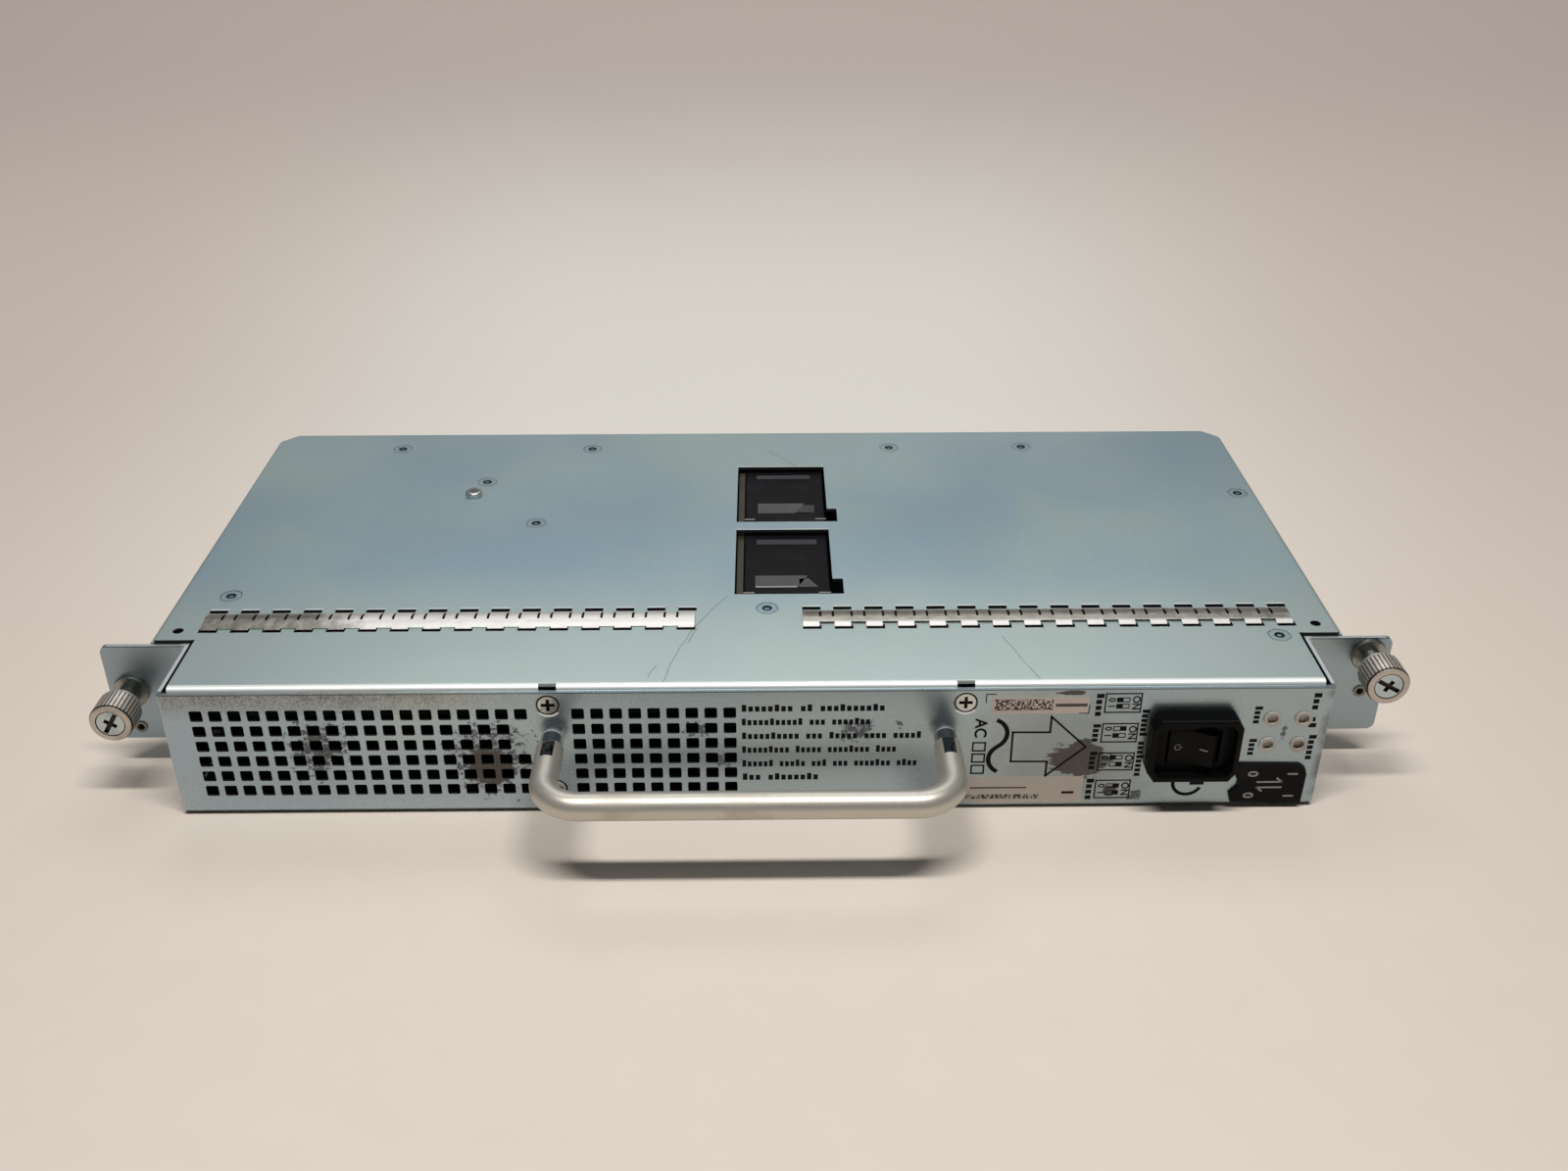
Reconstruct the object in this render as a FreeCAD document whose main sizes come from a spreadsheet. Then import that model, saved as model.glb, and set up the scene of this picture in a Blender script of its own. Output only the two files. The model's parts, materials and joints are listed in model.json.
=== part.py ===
import FreeCAD, Part
import Sketcher
import math
import os

# Power supply module of a router: a shallow zinc-plated steel box that slides into a bay.
# X runs to the right, Y from the handle to the rear, Z up. Sizes in millimetres.
# Positions are measured from the front panel's face, the middle of the width and the table.

V = FreeCAD.Vector
doc = FreeCAD.newDocument("power_supply_module")
sheet = doc.addObject("Spreadsheet::Sheet", "dims")

SIZES = [
    ("steel", 1.2, "sheet thickness"),
    ("height", 43.8, "table to top sheet"),
    ("depth", 176.2, "panel face to rear edge"),
    ("body_width", 360.5, "wide part behind the ears"),
    ("nose_width", 338.6, "front box between the ears"),
    ("nose_depth", 28.1, "panel face to the wide part"),
    ("deck_width", 333.2, "top sheet over the front box"),
    ("ear_span", 390.6, "over both ears"),
    ("ear_bottom", 9.0, "lower edge of the ears"),
    ("panel_bottom", 1.4, "lower edge of the panel"),
    ("panel_top", 42.6, "upper edge of panel and ears"),
    ("corner_cut", 6.5, "cut rear corners"),
    ("bend", 1.8, "outer bend radius"),
    ("cover", 1.0, "bottom cover thickness"),
    ("vent_size", 3.7, "square vent"),
    ("vent_pitch", 5.486, "vent spacing across"),
    ("vent_rise", 5.33, "vent spacing upwards"),
    ("vent_left", -159.1, "first vent column"),
    ("vent_low", 8.5, "lowest vent row"),
    ("finger_pitch", 9.67, "gasket finger spacing"),
    ("finger_first", 164.3, "outermost gasket finger"),
    ("slot_width", 5.7, "gasket slot"),
    ("window_left", -4.8, "left edge of the windows"),
    ("window_width", 31.4, "window across"),
    ("window_length", 43.6, "window front to rear"),
    ("window_front", 53.1, "front window's front edge"),
    ("window_step", 49.4, "front window to rear window"),
    ("rod", 8.0, "handle bar diameter"),
    ("handle_span", 114.6, "handle post centres"),
    ("handle_rise", 26.5, "handle height"),
    ("handle_reach", 31.9, "panel face to bar centre"),
    ("handle_bend", 11.0, "bend radius of the bar"),
    ("collar", 6.6, "collar diameter"),
    ("collar_length", 5.8, "collar length"),
    ("screw_span", 376.8, "captive screw centres"),
    ("screw_low", 27.0, "left captive screw height"),
    ("screw_high", 37.0, "right captive screw height"),
    ("bush_drop", 13.7, "guide bush below the screw"),
    ("knob", 12.7, "knob diameter"),
    ("knob_face", 8.3, "knob face behind the panel face"),
    ("guard_place", 129.9, "switch guard centre across"),
    ("guard_rise", 23.4, "switch guard centre height"),
    ("guard_width", 26.5, "switch guard across"),
    ("guard_height", 22.0, "switch guard height"),
    ("guard_proud", 5.2, "switch guard stands out"),
    ("lamp_left", 152.4, "left lamp column"),
    ("lamp_low", 22.5, "lower lamp row"),
    ("lamp_pitch", 9.1, "lamp spacing"),
    ("board_low", 6.4, "underside of the main board"),
    ("board", 1.6, "board thickness"),
    ("relay_top", 41.3, "top of the relays"),
    ("fan", 40.0, "fan frame"),
    ("fan_depth", 20.0, "fan frame depth"),
    ("fan_left", -95.75, "first fan"),
    ("fan_right", -4.0, "second fan"),
    ("fan_rise", 21.8, "fan axis height"),
    ("plug_nose", 6.0, "rear connectors stand out"),
    ("gap", 0.05, "fit between fixed pieces"),
]


class Size:
    """A length that keeps its number together with the sheet formula behind it."""

    def __init__(self, value, text, driven=True):
        self.value = float(value)
        self.text = text
        self.driven = driven

    def join(self, other, sign, value):
        other = size(other)
        return Size(value, "(%s %s %s)" % (self.text, sign, other.text), self.driven or other.driven)

    def __add__(self, other):
        return self.join(other, "+", self.value + size(other).value)

    def __sub__(self, other):
        return self.join(other, "-", self.value - size(other).value)

    def __mul__(self, other):
        return self.join(other, "*", self.value * size(other).value)

    def __truediv__(self, other):
        return self.join(other, "/", self.value / size(other).value)

    def __radd__(self, other):
        return size(other) + self

    def __rsub__(self, other):
        return size(other) - self

    def __rmul__(self, other):
        return size(other) * self

    def __neg__(self):
        return size(0) - self


def size(length):
    """Turns a plain number into a length without a sheet cell."""
    if isinstance(length, Size):
        return length
    return Size(length, "(%.6f)" % length, False)


class Dimensions:
    """The sheet's cells as lengths, one attribute per alias."""


dim = Dimensions()
for row, (alias, value, note) in enumerate(SIZES, start=1):
    sheet.set("A%d" % row, note)
    sheet.set("B%d" % row, str(value))
    sheet.setAlias("B%d" % row, alias)
    setattr(dim, alias, Size(value, "dims." + alias))
doc.recompute()

# The frame's origin is under the middle of the whole module, handle and connectors included
PANEL_PLACE = (dim.handle_reach + dim.rod / 2 - dim.depth - dim.plug_nose) / 2
subparts = []


def bind(item, name, length):
    item.setExpression(name, size(length).text)


def place(item, label, x=0, y=0, z=0):
    """Names a sub-part and places it in the module's frame."""
    item.Label = label
    bind(item, "Placement.Base.x", x)
    bind(item, "Placement.Base.y", PANEL_PLACE + y)
    bind(item, "Placement.Base.z", z)
    subparts.append(item)
    return item


def body(label, x=0, y=0, z=0):
    return place(doc.addObject("PartDesign::Body", label), label, x, y, z)


def origin(owner, role):
    return next(item for item in owner.Origin.OriginFeatures if item.Role == role)


def sketch(owner, role, offset=0):
    """A sketch on an origin plane, moved along the plane's normal."""
    item = owner.newObject("Sketcher::SketchObject", "Sketch")
    item.AttachmentSupport = [(origin(owner, role), "")]
    item.MapMode = "FlatFace"
    bind(item, "AttachmentOffset.Base.z", offset)
    return item


def flat(owner, z=0):
    """A horizontal sketch at a height: its axes are X and Y."""
    return sketch(owner, "XY_Plane", z)


def upright(owner, y=0):
    """A sketch facing the front at a distance behind the panel face: its axes are X and Z."""
    return sketch(owner, "XZ_Plane", -size(y))


def sideways(owner, x=0):
    """A sketch facing the right side: its axes are Y and Z."""
    return sketch(owner, "YZ_Plane", x)


def drive(item, kind, geometry, length):
    length = size(length)
    number = item.addConstraint(Sketcher.Constraint(kind, *geometry, length.value))
    if length.driven:
        item.setExpression("Constraints[%d]" % number, length.text)


def hold(item, curve, end, x, y):
    """Fixes a point of the sketch at driven distances from its origin."""
    drive(item, "DistanceX", (-1, 1, curve, end), x)
    drive(item, "DistanceY", (-1, 1, curve, end), y)


def point(x, y):
    return V(size(x).value, size(y).value, 0)


def outline(item, points):
    """A closed outline through the given points."""
    first = item.GeometryCount
    count = len(points)
    for step in range(count):
        ends = point(*points[step]), point(*points[(step + 1) % count])
        item.addGeometry(Part.LineSegment(*ends))
    for step in range(count):
        item.addConstraint(Sketcher.Constraint("Coincident", first + step, 2, first + (step + 1) % count, 1))
    for step in range(count):
        hold(item, first + step, 1, *points[step])


def block(item, left, low, right, high):
    outline(item, [(left, low), (right, low), (right, high), (left, high)])


def disc(item, x, y, diameter):
    curve = item.addGeometry(Part.Circle(point(x, y), V(0, 0, 1), size(diameter).value / 2))
    drive(item, "Diameter", (curve,), diameter)
    hold(item, curve, 3, x, y)


def soft_block(item, left, low, right, high, radius):
    """A rectangle with rounded corners."""
    first = item.GeometryCount
    left, low, right, high, radius = (size(v) for v in (left, low, right, high, radius))
    corners = [(right - radius, low + radius), (right - radius, high - radius),
               (left + radius, high - radius), (left + radius, low + radius)]
    r = radius.value
    for step, (x, y) in enumerate(corners):
        start = math.radians(90 * step - 90)
        ring = Part.Circle(point(x, y), V(0, 0, 1), r)
        item.addGeometry(Part.ArcOfCircle(ring, start, start + math.pi / 2))
    for step in range(4):
        a = item.Geometry[first + step].EndPoint
        b = item.Geometry[first + (step + 1) % 4].StartPoint
        item.addGeometry(Part.LineSegment(a, b))
    for step in range(4):
        item.addConstraint(Sketcher.Constraint("Tangent", first + step, 2, first + 4 + step, 1))
        item.addConstraint(Sketcher.Constraint("Tangent", first + 4 + step, 2, first + (step + 1) % 4, 1))
        hold(item, first + step, 3, *corners[step])
        drive(item, "Radius", (first + step,), radius)


def cross(item, x, y, length, width):
    """The plus-shaped recess of a screw head."""
    a, b = length / 2, width / 2
    steps = [(-a, -b), (-b, -b), (-b, -a), (b, -a), (b, -b), (a, -b),
             (a, b), (b, b), (b, a), (-b, a), (-b, b), (-a, b)]
    outline(item, [(x + dx, y + dy) for dx, dy in steps])


def hexagon(item, x, y, across):
    radius = size(across).value / math.sqrt(3)
    corners = [math.radians(60 * step + 12) for step in range(6)]
    outline(item, [(x + radius * math.cos(turn), y + radius * math.sin(turn)) for turn in corners])


def pad(owner, profile, length, back=False):
    """Extrudes along the sketch's normal, or the other way with back."""
    item = owner.newObject("PartDesign::Pad", "Pad")
    item.Profile = profile
    bind(item, "Length", length)
    item.Reversed = back
    owner.Tip = item
    return item


def cut(owner, profile, length, back=False):
    """Cuts against the sketch's normal, or along it with back, and proves that it removed something."""
    before = owner.Tip
    item = owner.newObject("PartDesign::Pocket", "Pocket")
    item.Profile = profile
    bind(item, "Length", length)
    item.Reversed = back
    owner.Tip = item
    doc.recompute()
    if item.Shape.Volume >= before.Shape.Volume - 1e-6:
        raise RuntimeError("a pocket of %s cut nothing" % owner.Label)
    return item


def repeat(owner, feature, profile, axis, length, count, second=None):
    """Repeats a feature in a row, or in rows with a second axis."""
    item = owner.newObject("PartDesign::LinearPattern", "Rows")
    item.Originals = [feature]
    item.Direction = (profile, [axis])
    bind(item, "Length", length)
    item.Occurrences = count
    if second:
        item.Direction2 = (profile, [second[0]])
        bind(item, "Length2", second[1])
        item.Occurrences2 = second[2]
    owner.Tip = item
    return item


def turn(owner, profile):
    """Turns an outline of distances along Y and radii about the body's Y axis."""
    item = sideways(owner)
    outline(item, profile)
    solid = owner.newObject("PartDesign::Revolution", "Revolution")
    solid.Profile = item
    solid.ReferenceAxis = (item, ["H_Axis"])
    solid.Angle = 360
    owner.Tip = solid
    return solid


def soften(owner, radius, x=None, y=None, z=None):
    """Rounds the edges that lie at the given coordinates on either side; one left out is free."""
    doc.recompute()
    base = owner.Tip
    wanted = [(axis, abs(size(v).value)) for axis, v in (("X", x), ("Y", y), ("Z", z)) if v is not None]
    names = []
    for number, edge in enumerate(base.Shape.Edges, start=1):
        box = edge.BoundBox
        spans = [(getattr(box, axis + "Min"), getattr(box, axis + "Max"), v) for axis, v in wanted]
        if all(high - low < 0.02 and abs(abs(low + high) / 2 - v) < 0.01 for low, high, v in spans):
            names.append("Edge%d" % number)
    if not names:
        raise RuntimeError("no edge to round on %s" % owner.Label)
    item = owner.newObject("PartDesign::Fillet", "Fillet")
    item.Base = (base, names)
    bind(item, "Radius", radius)
    owner.Tip = item
    return item


def bricks(label, spans, low, high):
    """A group of upright blocks: each span is left, front, right, rear."""
    owner = body(label)
    item = flat(owner, low)
    for span in spans:
        block(item, *span)
    pad(owner, item, size(high) - low)
    return owner


def drums(label, places, diameter, low, high, bore=0, edge=0):
    """A group of upright cylinders or rings."""
    owner = body(label)
    item = flat(owner, low)
    for x, y in places:
        disc(item, x, y, diameter)
        if bore:
            disc(item, x, y, bore)
    pad(owner, item, size(high) - low)
    if edge:
        soften(owner, edge, z=high)
    return owner


# Shared positions
WIDE = dim.body_width / 2
NOSE = dim.nose_width / 2
DECK = dim.deck_width / 2
UNDER = dim.height - dim.steel
FLANGE = dim.steel + 0.1
EAR_BACK = dim.nose_depth - 0.3
EAR_FRONT = EAR_BACK - dim.steel
SIDE = dim.screw_span / 2
POST = dim.handle_span / 2
BOARD_TOP = dim.board_low + dim.board
SEAT = BOARD_TOP + 0.1
REAR = dim.depth - 0.3
PANEL_SCREWS = [(-57.8, 38.1), (62.7, 38.0)]
LOWER_SCREW = (-57.5, 8.2)
TOP_SCREW = (-98.4, 124.5)
STANDOFFS = [(-131.5, 163.5), (-60.0, 162.7), (-95.3, 134.8), (-73.6, 102.5), (-163.5, 54.1),
             (5.5, 44.5), (51.9, 162.5), (102.0, 162.7), (173.4, 122.5), (160.3, 26.6)]
SIDE_SCREWS = [50.0, 100.0, 150.0]
SIDE_SCREW_RISE = 6.0
FAN_PLACES = [("a", dim.fan_left), ("b", dim.fan_right)]

# Top tray: one folded sheet, wide behind the ears, with side walls and a front flange behind the panel
tray = body("upper_tray")
plan = flat(tray, UNDER)
outline(plan, [(-DECK, FLANGE), (DECK, FLANGE), (DECK, dim.nose_depth), (WIDE, dim.nose_depth),
               (WIDE, dim.depth), (-WIDE, dim.depth), (-WIDE, dim.nose_depth), (-DECK, dim.nose_depth)])
pad(tray, plan, dim.steel)
walls = flat(tray, UNDER)
block(walls, WIDE - dim.steel, dim.nose_depth, WIDE, dim.depth)
block(walls, -WIDE, dim.nose_depth, -(WIDE - dim.steel), dim.depth)
pad(tray, walls, UNDER - dim.cover - dim.gap, back=True)
flange = flat(tray, UNDER)
block(flange, -DECK, FLANGE, DECK, FLANGE + dim.steel)
pad(tray, flange, 5.0, back=True)
tabs = flat(tray, UNDER)
for screw_x, screw_z in PANEL_SCREWS:
    block(tabs, screw_x - 6, FLANGE, screw_x + 6, FLANGE + dim.steel)
pad(tray, tabs, 11.6, back=True)
soften(tray, dim.bend, x=WIDE, z=dim.height)
soften(tray, 0.3, x=WIDE - dim.steel, z=UNDER)
soften(tray, dim.bend, y=FLANGE, z=dim.height)
soften(tray, 0.6, y=FLANGE + dim.steel, z=UNDER)
corners = flat(tray, dim.height + 1)
for side in (1, -1):
    outline(corners, [(side * (WIDE + 1), dim.depth - dim.corner_cut - 1), (side * (WIDE + 1), dim.depth + 1),
                      (side * (WIDE - dim.corner_cut - 1), dim.depth + 1)])
cut(tray, corners, dim.height + 2)
notches = flat(tray, dim.height + 1)
for screw_x, screw_z in PANEL_SCREWS:
    block(notches, screw_x - 2.6, FLANGE - 1, screw_x + 2.6, 3.0)
cut(tray, notches, 4.0)
windows = flat(tray, dim.height + 1)
for front in (dim.window_front, dim.window_front + dim.window_step):
    right = dim.window_left + dim.window_width
    rear = front + dim.window_length
    outline(windows, [(dim.window_left, front), (right + 3.3, front), (right + 3.3, front + 9.6),
                      (right, front + 9.6), (right, rear), (dim.window_left, rear)])
cut(tray, windows, 4.0)
slots = flat(tray, dim.height + 1)
for first in (-dim.finger_first, dim.finger_first - 15 * dim.finger_pitch):
    block(slots, first - dim.slot_width / 2, 43.2, first + dim.slot_width / 2, 45.2)
    block(slots, first - dim.slot_width / 2, 31.9, first + dim.slot_width / 2, 34.3)
slot_cut = cut(tray, slots, 4.0)
repeat(tray, slot_cut, slots, "H_Axis", 15 * dim.finger_pitch, 16)
holes = flat(tray, dim.height + 1)
for x, y in STANDOFFS:
    hexagon(holes, x, y, 6.5)
disc(holes, *TOP_SCREW, 3.3)
for side in (1, -1):
    disc(holes, side * 173.3, 33.2, 3.2)
cut(tray, holes, 4.0)
seats = sideways(tray, WIDE + 1)
for y in SIDE_SCREWS:
    disc(seats, y, SIDE_SCREW_RISE, 5.6)
cut(tray, seats, dim.body_width + 2)
threads = upright(tray, 0)
for x, z in PANEL_SCREWS:
    disc(threads, x, z, 3.0)
cut(tray, threads, 5.0)

# Front panel: panel, side returns and ears in one folded sheet
panel = body("front_panel")
face = upright(panel)
block(face, -NOSE, dim.panel_bottom, NOSE, dim.panel_top)
pad(panel, face, dim.steel, back=True)
returns = flat(panel, dim.panel_bottom)
block(returns, NOSE - dim.steel, 0, NOSE, EAR_BACK)
block(returns, -NOSE, 0, -(NOSE - dim.steel), EAR_BACK)
pad(panel, returns, dim.panel_top - dim.panel_bottom)
ears = upright(panel, EAR_BACK)
block(ears, NOSE - dim.steel, dim.ear_bottom, dim.ear_span / 2, dim.panel_top)
block(ears, -dim.ear_span / 2, dim.ear_bottom, -(NOSE - dim.steel), dim.panel_top)
pad(panel, ears, dim.steel)
soften(panel, 0.9, x=NOSE, y=0)
soften(panel, 0.4, x=NOSE - dim.steel, y=dim.steel)
soften(panel, 2.5, x=dim.ear_span / 2, z=dim.panel_top)
soften(panel, 2.5, x=dim.ear_span / 2, z=dim.ear_bottom)


def vents(left, columns):
    """A field of square vents, six rows high."""
    item = upright(panel)
    half = dim.vent_size / 2
    soft_block(item, left - half, dim.vent_low - half, left + half, dim.vent_low + half, 0.55)
    first = cut(panel, item, 3.0)
    repeat(panel, first, item, "H_Axis", (columns - 1) * dim.vent_pitch, columns,
           ("V_Axis", 5 * dim.vent_rise, 6))


vents(dim.vent_left, 17)
vents(dim.vent_left + 20 * dim.vent_pitch, 9)
lone = upright(panel)
for step in (0, 1, 2, 5):
    x = dim.vent_left + 17 * dim.vent_pitch
    z = dim.vent_low + step * dim.vent_rise
    half = dim.vent_size / 2
    soft_block(lone, x - half, z - half, x + half, z + half, 0.55)
cut(panel, lone, 3.0)
openings = upright(panel)
block(openings, dim.guard_place - 9.8, dim.guard_rise - 7.3, dim.guard_place + 9.8, dim.guard_rise + 7.3)
block(openings, 148.9, 4.4, 161.3, 13.0)
for column in (0, 1):
    for level in (0, 1):
        disc(openings, dim.lamp_left + column * dim.lamp_pitch, dim.lamp_low + level * dim.lamp_pitch, 3.7)
for side in (1, -1):
    disc(openings, side * POST, dim.handle_rise, 4.3)
cut(panel, openings, 3.0)
dimples = upright(panel)
for x, z in PANEL_SCREWS + [LOWER_SCREW]:
    disc(dimples, x, z, 7.1)
sink = cut(panel, dimples, dim.steel)
sink.TaperAngle = -45
ear_holes = upright(panel, EAR_FRONT - 1)
for side, level in ((-1, dim.screw_low), (1, dim.screw_high)):
    disc(ear_holes, side * SIDE, level, 8.05)
    disc(ear_holes, side * SIDE, level - dim.bush_drop, 3.0)
cut(panel, ear_holes, 4.0)

# Bottom cover: flat sheet with a front flange behind the panel and a flange inside each side wall
lower = body("bottom_cover")
plan = flat(lower)
inset = NOSE - dim.steel - 0.4
outline(plan, [(-inset, FLANGE), (inset, FLANGE), (inset, dim.nose_depth), (WIDE, dim.nose_depth),
               (WIDE, REAR - dim.corner_cut), (WIDE - dim.corner_cut, REAR),
               (-(WIDE - dim.corner_cut), REAR), (-WIDE, REAR - dim.corner_cut),
               (-WIDE, dim.nose_depth), (-inset, dim.nose_depth)])
pad(lower, plan, dim.cover)
lip = flat(lower)
block(lip, -160.0, FLANGE, 110.0, FLANGE + dim.cover)
pad(lower, lip, 5.6)
tab = flat(lower)
block(tab, LOWER_SCREW[0] - 6, FLANGE, LOWER_SCREW[0] + 6, FLANGE + dim.cover)
pad(lower, tab, 13.0)
rails = flat(lower)
RAIL = WIDE - dim.steel - 0.1
block(rails, RAIL - dim.cover, 32.0, RAIL, 156.0)
block(rails, -RAIL, 32.0, -(RAIL - dim.cover), 156.0)
pad(lower, rails, 11.0)
thread = upright(lower)
disc(thread, *LOWER_SCREW, 3.0)
cut(lower, thread, 5.0)
threads = sideways(lower, WIDE + 1)
for y in SIDE_SCREWS:
    disc(threads, y, SIDE_SCREW_RISE, 3.0)
cut(lower, threads, dim.body_width + 2)

# Rear panel: folded at the cut corners, with fan vents and connector openings
rear_panel = body("rear_panel")
plan = flat(rear_panel, dim.cover + dim.gap)
OUT = RAIL
slope = 0.3 * math.sqrt(2)
out_y = dim.depth - dim.corner_cut - slope + (WIDE - OUT)
out_x = WIDE - dim.corner_cut - slope + (dim.depth - REAR)
half = dim.steel * math.tan(math.radians(22.5))
right_run = [(OUT - dim.steel, 158.0), (OUT, 158.0), (OUT, out_y), (out_x, REAR)]
right_back = [(out_x - half, REAR - dim.steel), (OUT - dim.steel, out_y - half)]
left_run = [(-x, y) for x, y in reversed(right_run)]
left_back = [(-x, y) for x, y in reversed(right_back)]
outline(plan, right_run + left_run + left_back + right_back)
pad(rear_panel, plan, UNDER - dim.cover - 4 * dim.gap)
for name, fan_x in FAN_PLACES:
    item = upright(rear_panel, dim.depth + 1)
    edge = dim.vent_size / 2
    low_x = fan_x - 3 * dim.vent_pitch
    low_z = dim.fan_rise - 3 * dim.vent_rise
    soft_block(item, low_x - edge, low_z - edge, low_x + edge, low_z + edge, 0.55)
    first = cut(rear_panel, item, 4.0, back=True)
    repeat(rear_panel, first, item, "H_Axis", 6 * dim.vent_pitch, 7, ("V_Axis", 6 * dim.vent_rise, 7))
plugs = upright(rear_panel, dim.depth + 1)
block(plugs, 112.7, 7.8, 171.3, 26.3)
block(plugs, -170.3, 7.8, -139.7, 26.3)
cut(rear_panel, plugs, 4.0, back=True)

# Flush screws through the side walls into the cover's flanges
side_screws = body("side_screws")
for side in (1, -1):
    heads = sideways(side_screws, side * (WIDE - 0.02))
    for y in SIDE_SCREWS:
        disc(heads, y, SIDE_SCREW_RISE, 5.5)
    pad(side_screws, heads, dim.steel, back=side > 0)
    shanks = sideways(side_screws, side * (WIDE - 0.5))
    for y in SIDE_SCREWS:
        disc(shanks, y, SIDE_SCREW_RISE, 2.9)
    pad(side_screws, shanks, 2.75, back=side > 0)

# Clinched hex standoffs, flush with the top sheet, carrying the main board
standoffs = body("clinch_standoffs")
heads = flat(standoffs, UNDER)
for x, y in STANDOFFS:
    hexagon(heads, x, y, 6.4)
pad(standoffs, heads, dim.steel - 0.03)
barrels = flat(standoffs, BOARD_TOP + dim.gap)
for x, y in STANDOFFS:
    disc(barrels, x, y, 5.0)
pad(standoffs, barrels, UNDER - BOARD_TOP)
bores = flat(standoffs, dim.height - 0.9)
for x, y in STANDOFFS:
    disc(bores, x, y, 2.6)
cut(standoffs, bores, dim.height)
dimples = flat(standoffs, dim.height + 1)
for x, y in STANDOFFS:
    disc(dimples, x, y, 2.8)
cut(standoffs, dimples, 1.25)

board_screws = body("board_screws")
heads = flat(board_screws, dim.board_low - 0.02)
for x, y in STANDOFFS:
    disc(heads, x, y, 5.0)
pad(board_screws, heads, 2.0, back=True)
shanks = flat(board_screws, dim.board_low - 0.1)
for x, y in STANDOFFS:
    disc(shanks, x, y, 2.5)
pad(board_screws, shanks, 8.0)

# Pan-head screw that holds the heatsink under the top sheet
top_screw = body("heatsink_screw")
head = flat(top_screw, dim.height + 0.02)
disc(head, *TOP_SCREW, 6.0)
pad(top_screw, head, 1.7)
soften(top_screw, 0.7, z=dim.height + 1.72)
shank = flat(top_screw, dim.height + 0.1)
disc(shank, *TOP_SCREW, 2.9)
pad(top_screw, shank, 6.6, back=True)
recess = flat(top_screw, dim.height + 1.72)
cross(recess, *TOP_SCREW, 3.2, 0.8)
cut(top_screw, recess, 1.0)


def gasket(label, first):
    """A domed strip whose fingers dip through the slots of the top sheet."""
    owner = body(label)
    start = size(first) - 2.6
    profile = sideways(owner, start)
    front, rear, low = 34.5, 42.9, dim.height + dim.gap
    arcs = []
    for inset, rise in ((0.0, 1.65), (0.3, 1.35)):
        chord = rear - front - 2 * inset
        radius = (chord * chord / 4 + rise * rise) / (2 * rise)
        centre = V((front + rear) / 2, low.value + rise - radius, 0)
        reach = math.asin(chord / 2 / radius)
        ring = Part.Circle(centre, V(0, 0, 1), radius)
        arc = profile.addGeometry(Part.ArcOfCircle(ring, math.pi / 2 - reach, math.pi / 2 + reach))
        hold(profile, arc, 1, rear - inset, low)
        hold(profile, arc, 2, front + inset, low)
        drive(profile, "Radius", (arc,), radius)
        arcs.append(arc)
    for end in (1, 2):
        ends = [profile.getPoint(arc, end) for arc in arcs]
        line = profile.addGeometry(Part.LineSegment(*ends))
        profile.addConstraint(Sketcher.Constraint("Coincident", line, 1, arcs[0], end))
        profile.addConstraint(Sketcher.Constraint("Coincident", line, 2, arcs[1], end))
    pad(owner, profile, 15 * dim.finger_pitch + 5.2)
    legs = sideways(owner, start)
    for edge, outward in ((front, -1), (rear, 1)):
        steps = [(-0.5, low + 0.55), (0.9, low + 0.35), (1.4, low - 1.9), (1.1, low - 1.9), (0.6, low), (-0.5, low)]
        outline(legs, [(edge + outward * reach, level) for reach, level in steps])
    leg = pad(owner, legs, 5.2)
    repeat(owner, leg, legs, "N_Axis", 15 * dim.finger_pitch, 16)


gasket("gasket_left", -dim.finger_first)
gasket("gasket_right", dim.finger_first - 15 * dim.finger_pitch)

# Countersunk screws of the front panel
panel_screws = body("panel_screws")
SCREWS = PANEL_SCREWS + [LOWER_SCREW]
heads = upright(panel_screws, 0.15)
for x, z in SCREWS:
    disc(heads, x, z, 6.6)
cone = pad(panel_screws, heads, 1.0, back=True)
cone.TaperAngle = -45
shanks = upright(panel_screws, 0.6)
for x, z in SCREWS:
    disc(shanks, x, z, 2.9)
pad(panel_screws, shanks, 6.3, back=True)
recesses = upright(panel_screws, 0.15)
for x, z in SCREWS:
    cross(recesses, x, z, 4.0, 1.0)
cut(panel_screws, recesses, 0.9)

# Handle: round bar bent to a U, with a flat milled on each end, on collars and screws from inside
handle = body("handle")
spine = flat(handle, dim.handle_rise)
REACH = -dim.handle_reach
TURN = dim.handle_bend
stations = [(-POST, -dim.collar_length), (-POST, REACH + TURN), (TURN - POST, REACH),
            (POST - TURN, REACH), (POST, REACH + TURN), (POST, -dim.collar_length)]
for a, b in ((0, 1), (2, 3), (4, 5)):
    line = spine.addGeometry(Part.LineSegment(point(*stations[a]), point(*stations[b])))
    hold(spine, line, 1, *stations[a])
    hold(spine, line, 2, *stations[b])
for side, start in ((-1, 180), (1, 270)):
    ring = Part.Circle(point(side * (POST - TURN), REACH + TURN), V(0, 0, 1), TURN.value)
    arc = spine.addGeometry(Part.ArcOfCircle(ring, math.radians(start), math.radians(start + 90)))
    before, after = ((0, 2), (1, 1)) if side < 0 else ((1, 2), (2, 1))
    spine.addConstraint(Sketcher.Constraint("Coincident", arc, 1, *before))
    spine.addConstraint(Sketcher.Constraint("Coincident", arc, 2, *after))
    drive(spine, "Radius", (arc,), TURN)
section = upright(handle, -dim.collar_length)
disc(section, -POST, dim.handle_rise, dim.rod)
doc.recompute()
bar = handle.newObject("PartDesign::AdditivePipe", "Bar")
bar.Profile = section
bar.Spine = (spine, ["Edge%d" % number for number in range(1, len(spine.Shape.Edges) + 1)])
handle.Tip = bar
doc.recompute()
flats = flat(handle, dim.handle_rise + dim.rod / 2 + 1)
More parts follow.
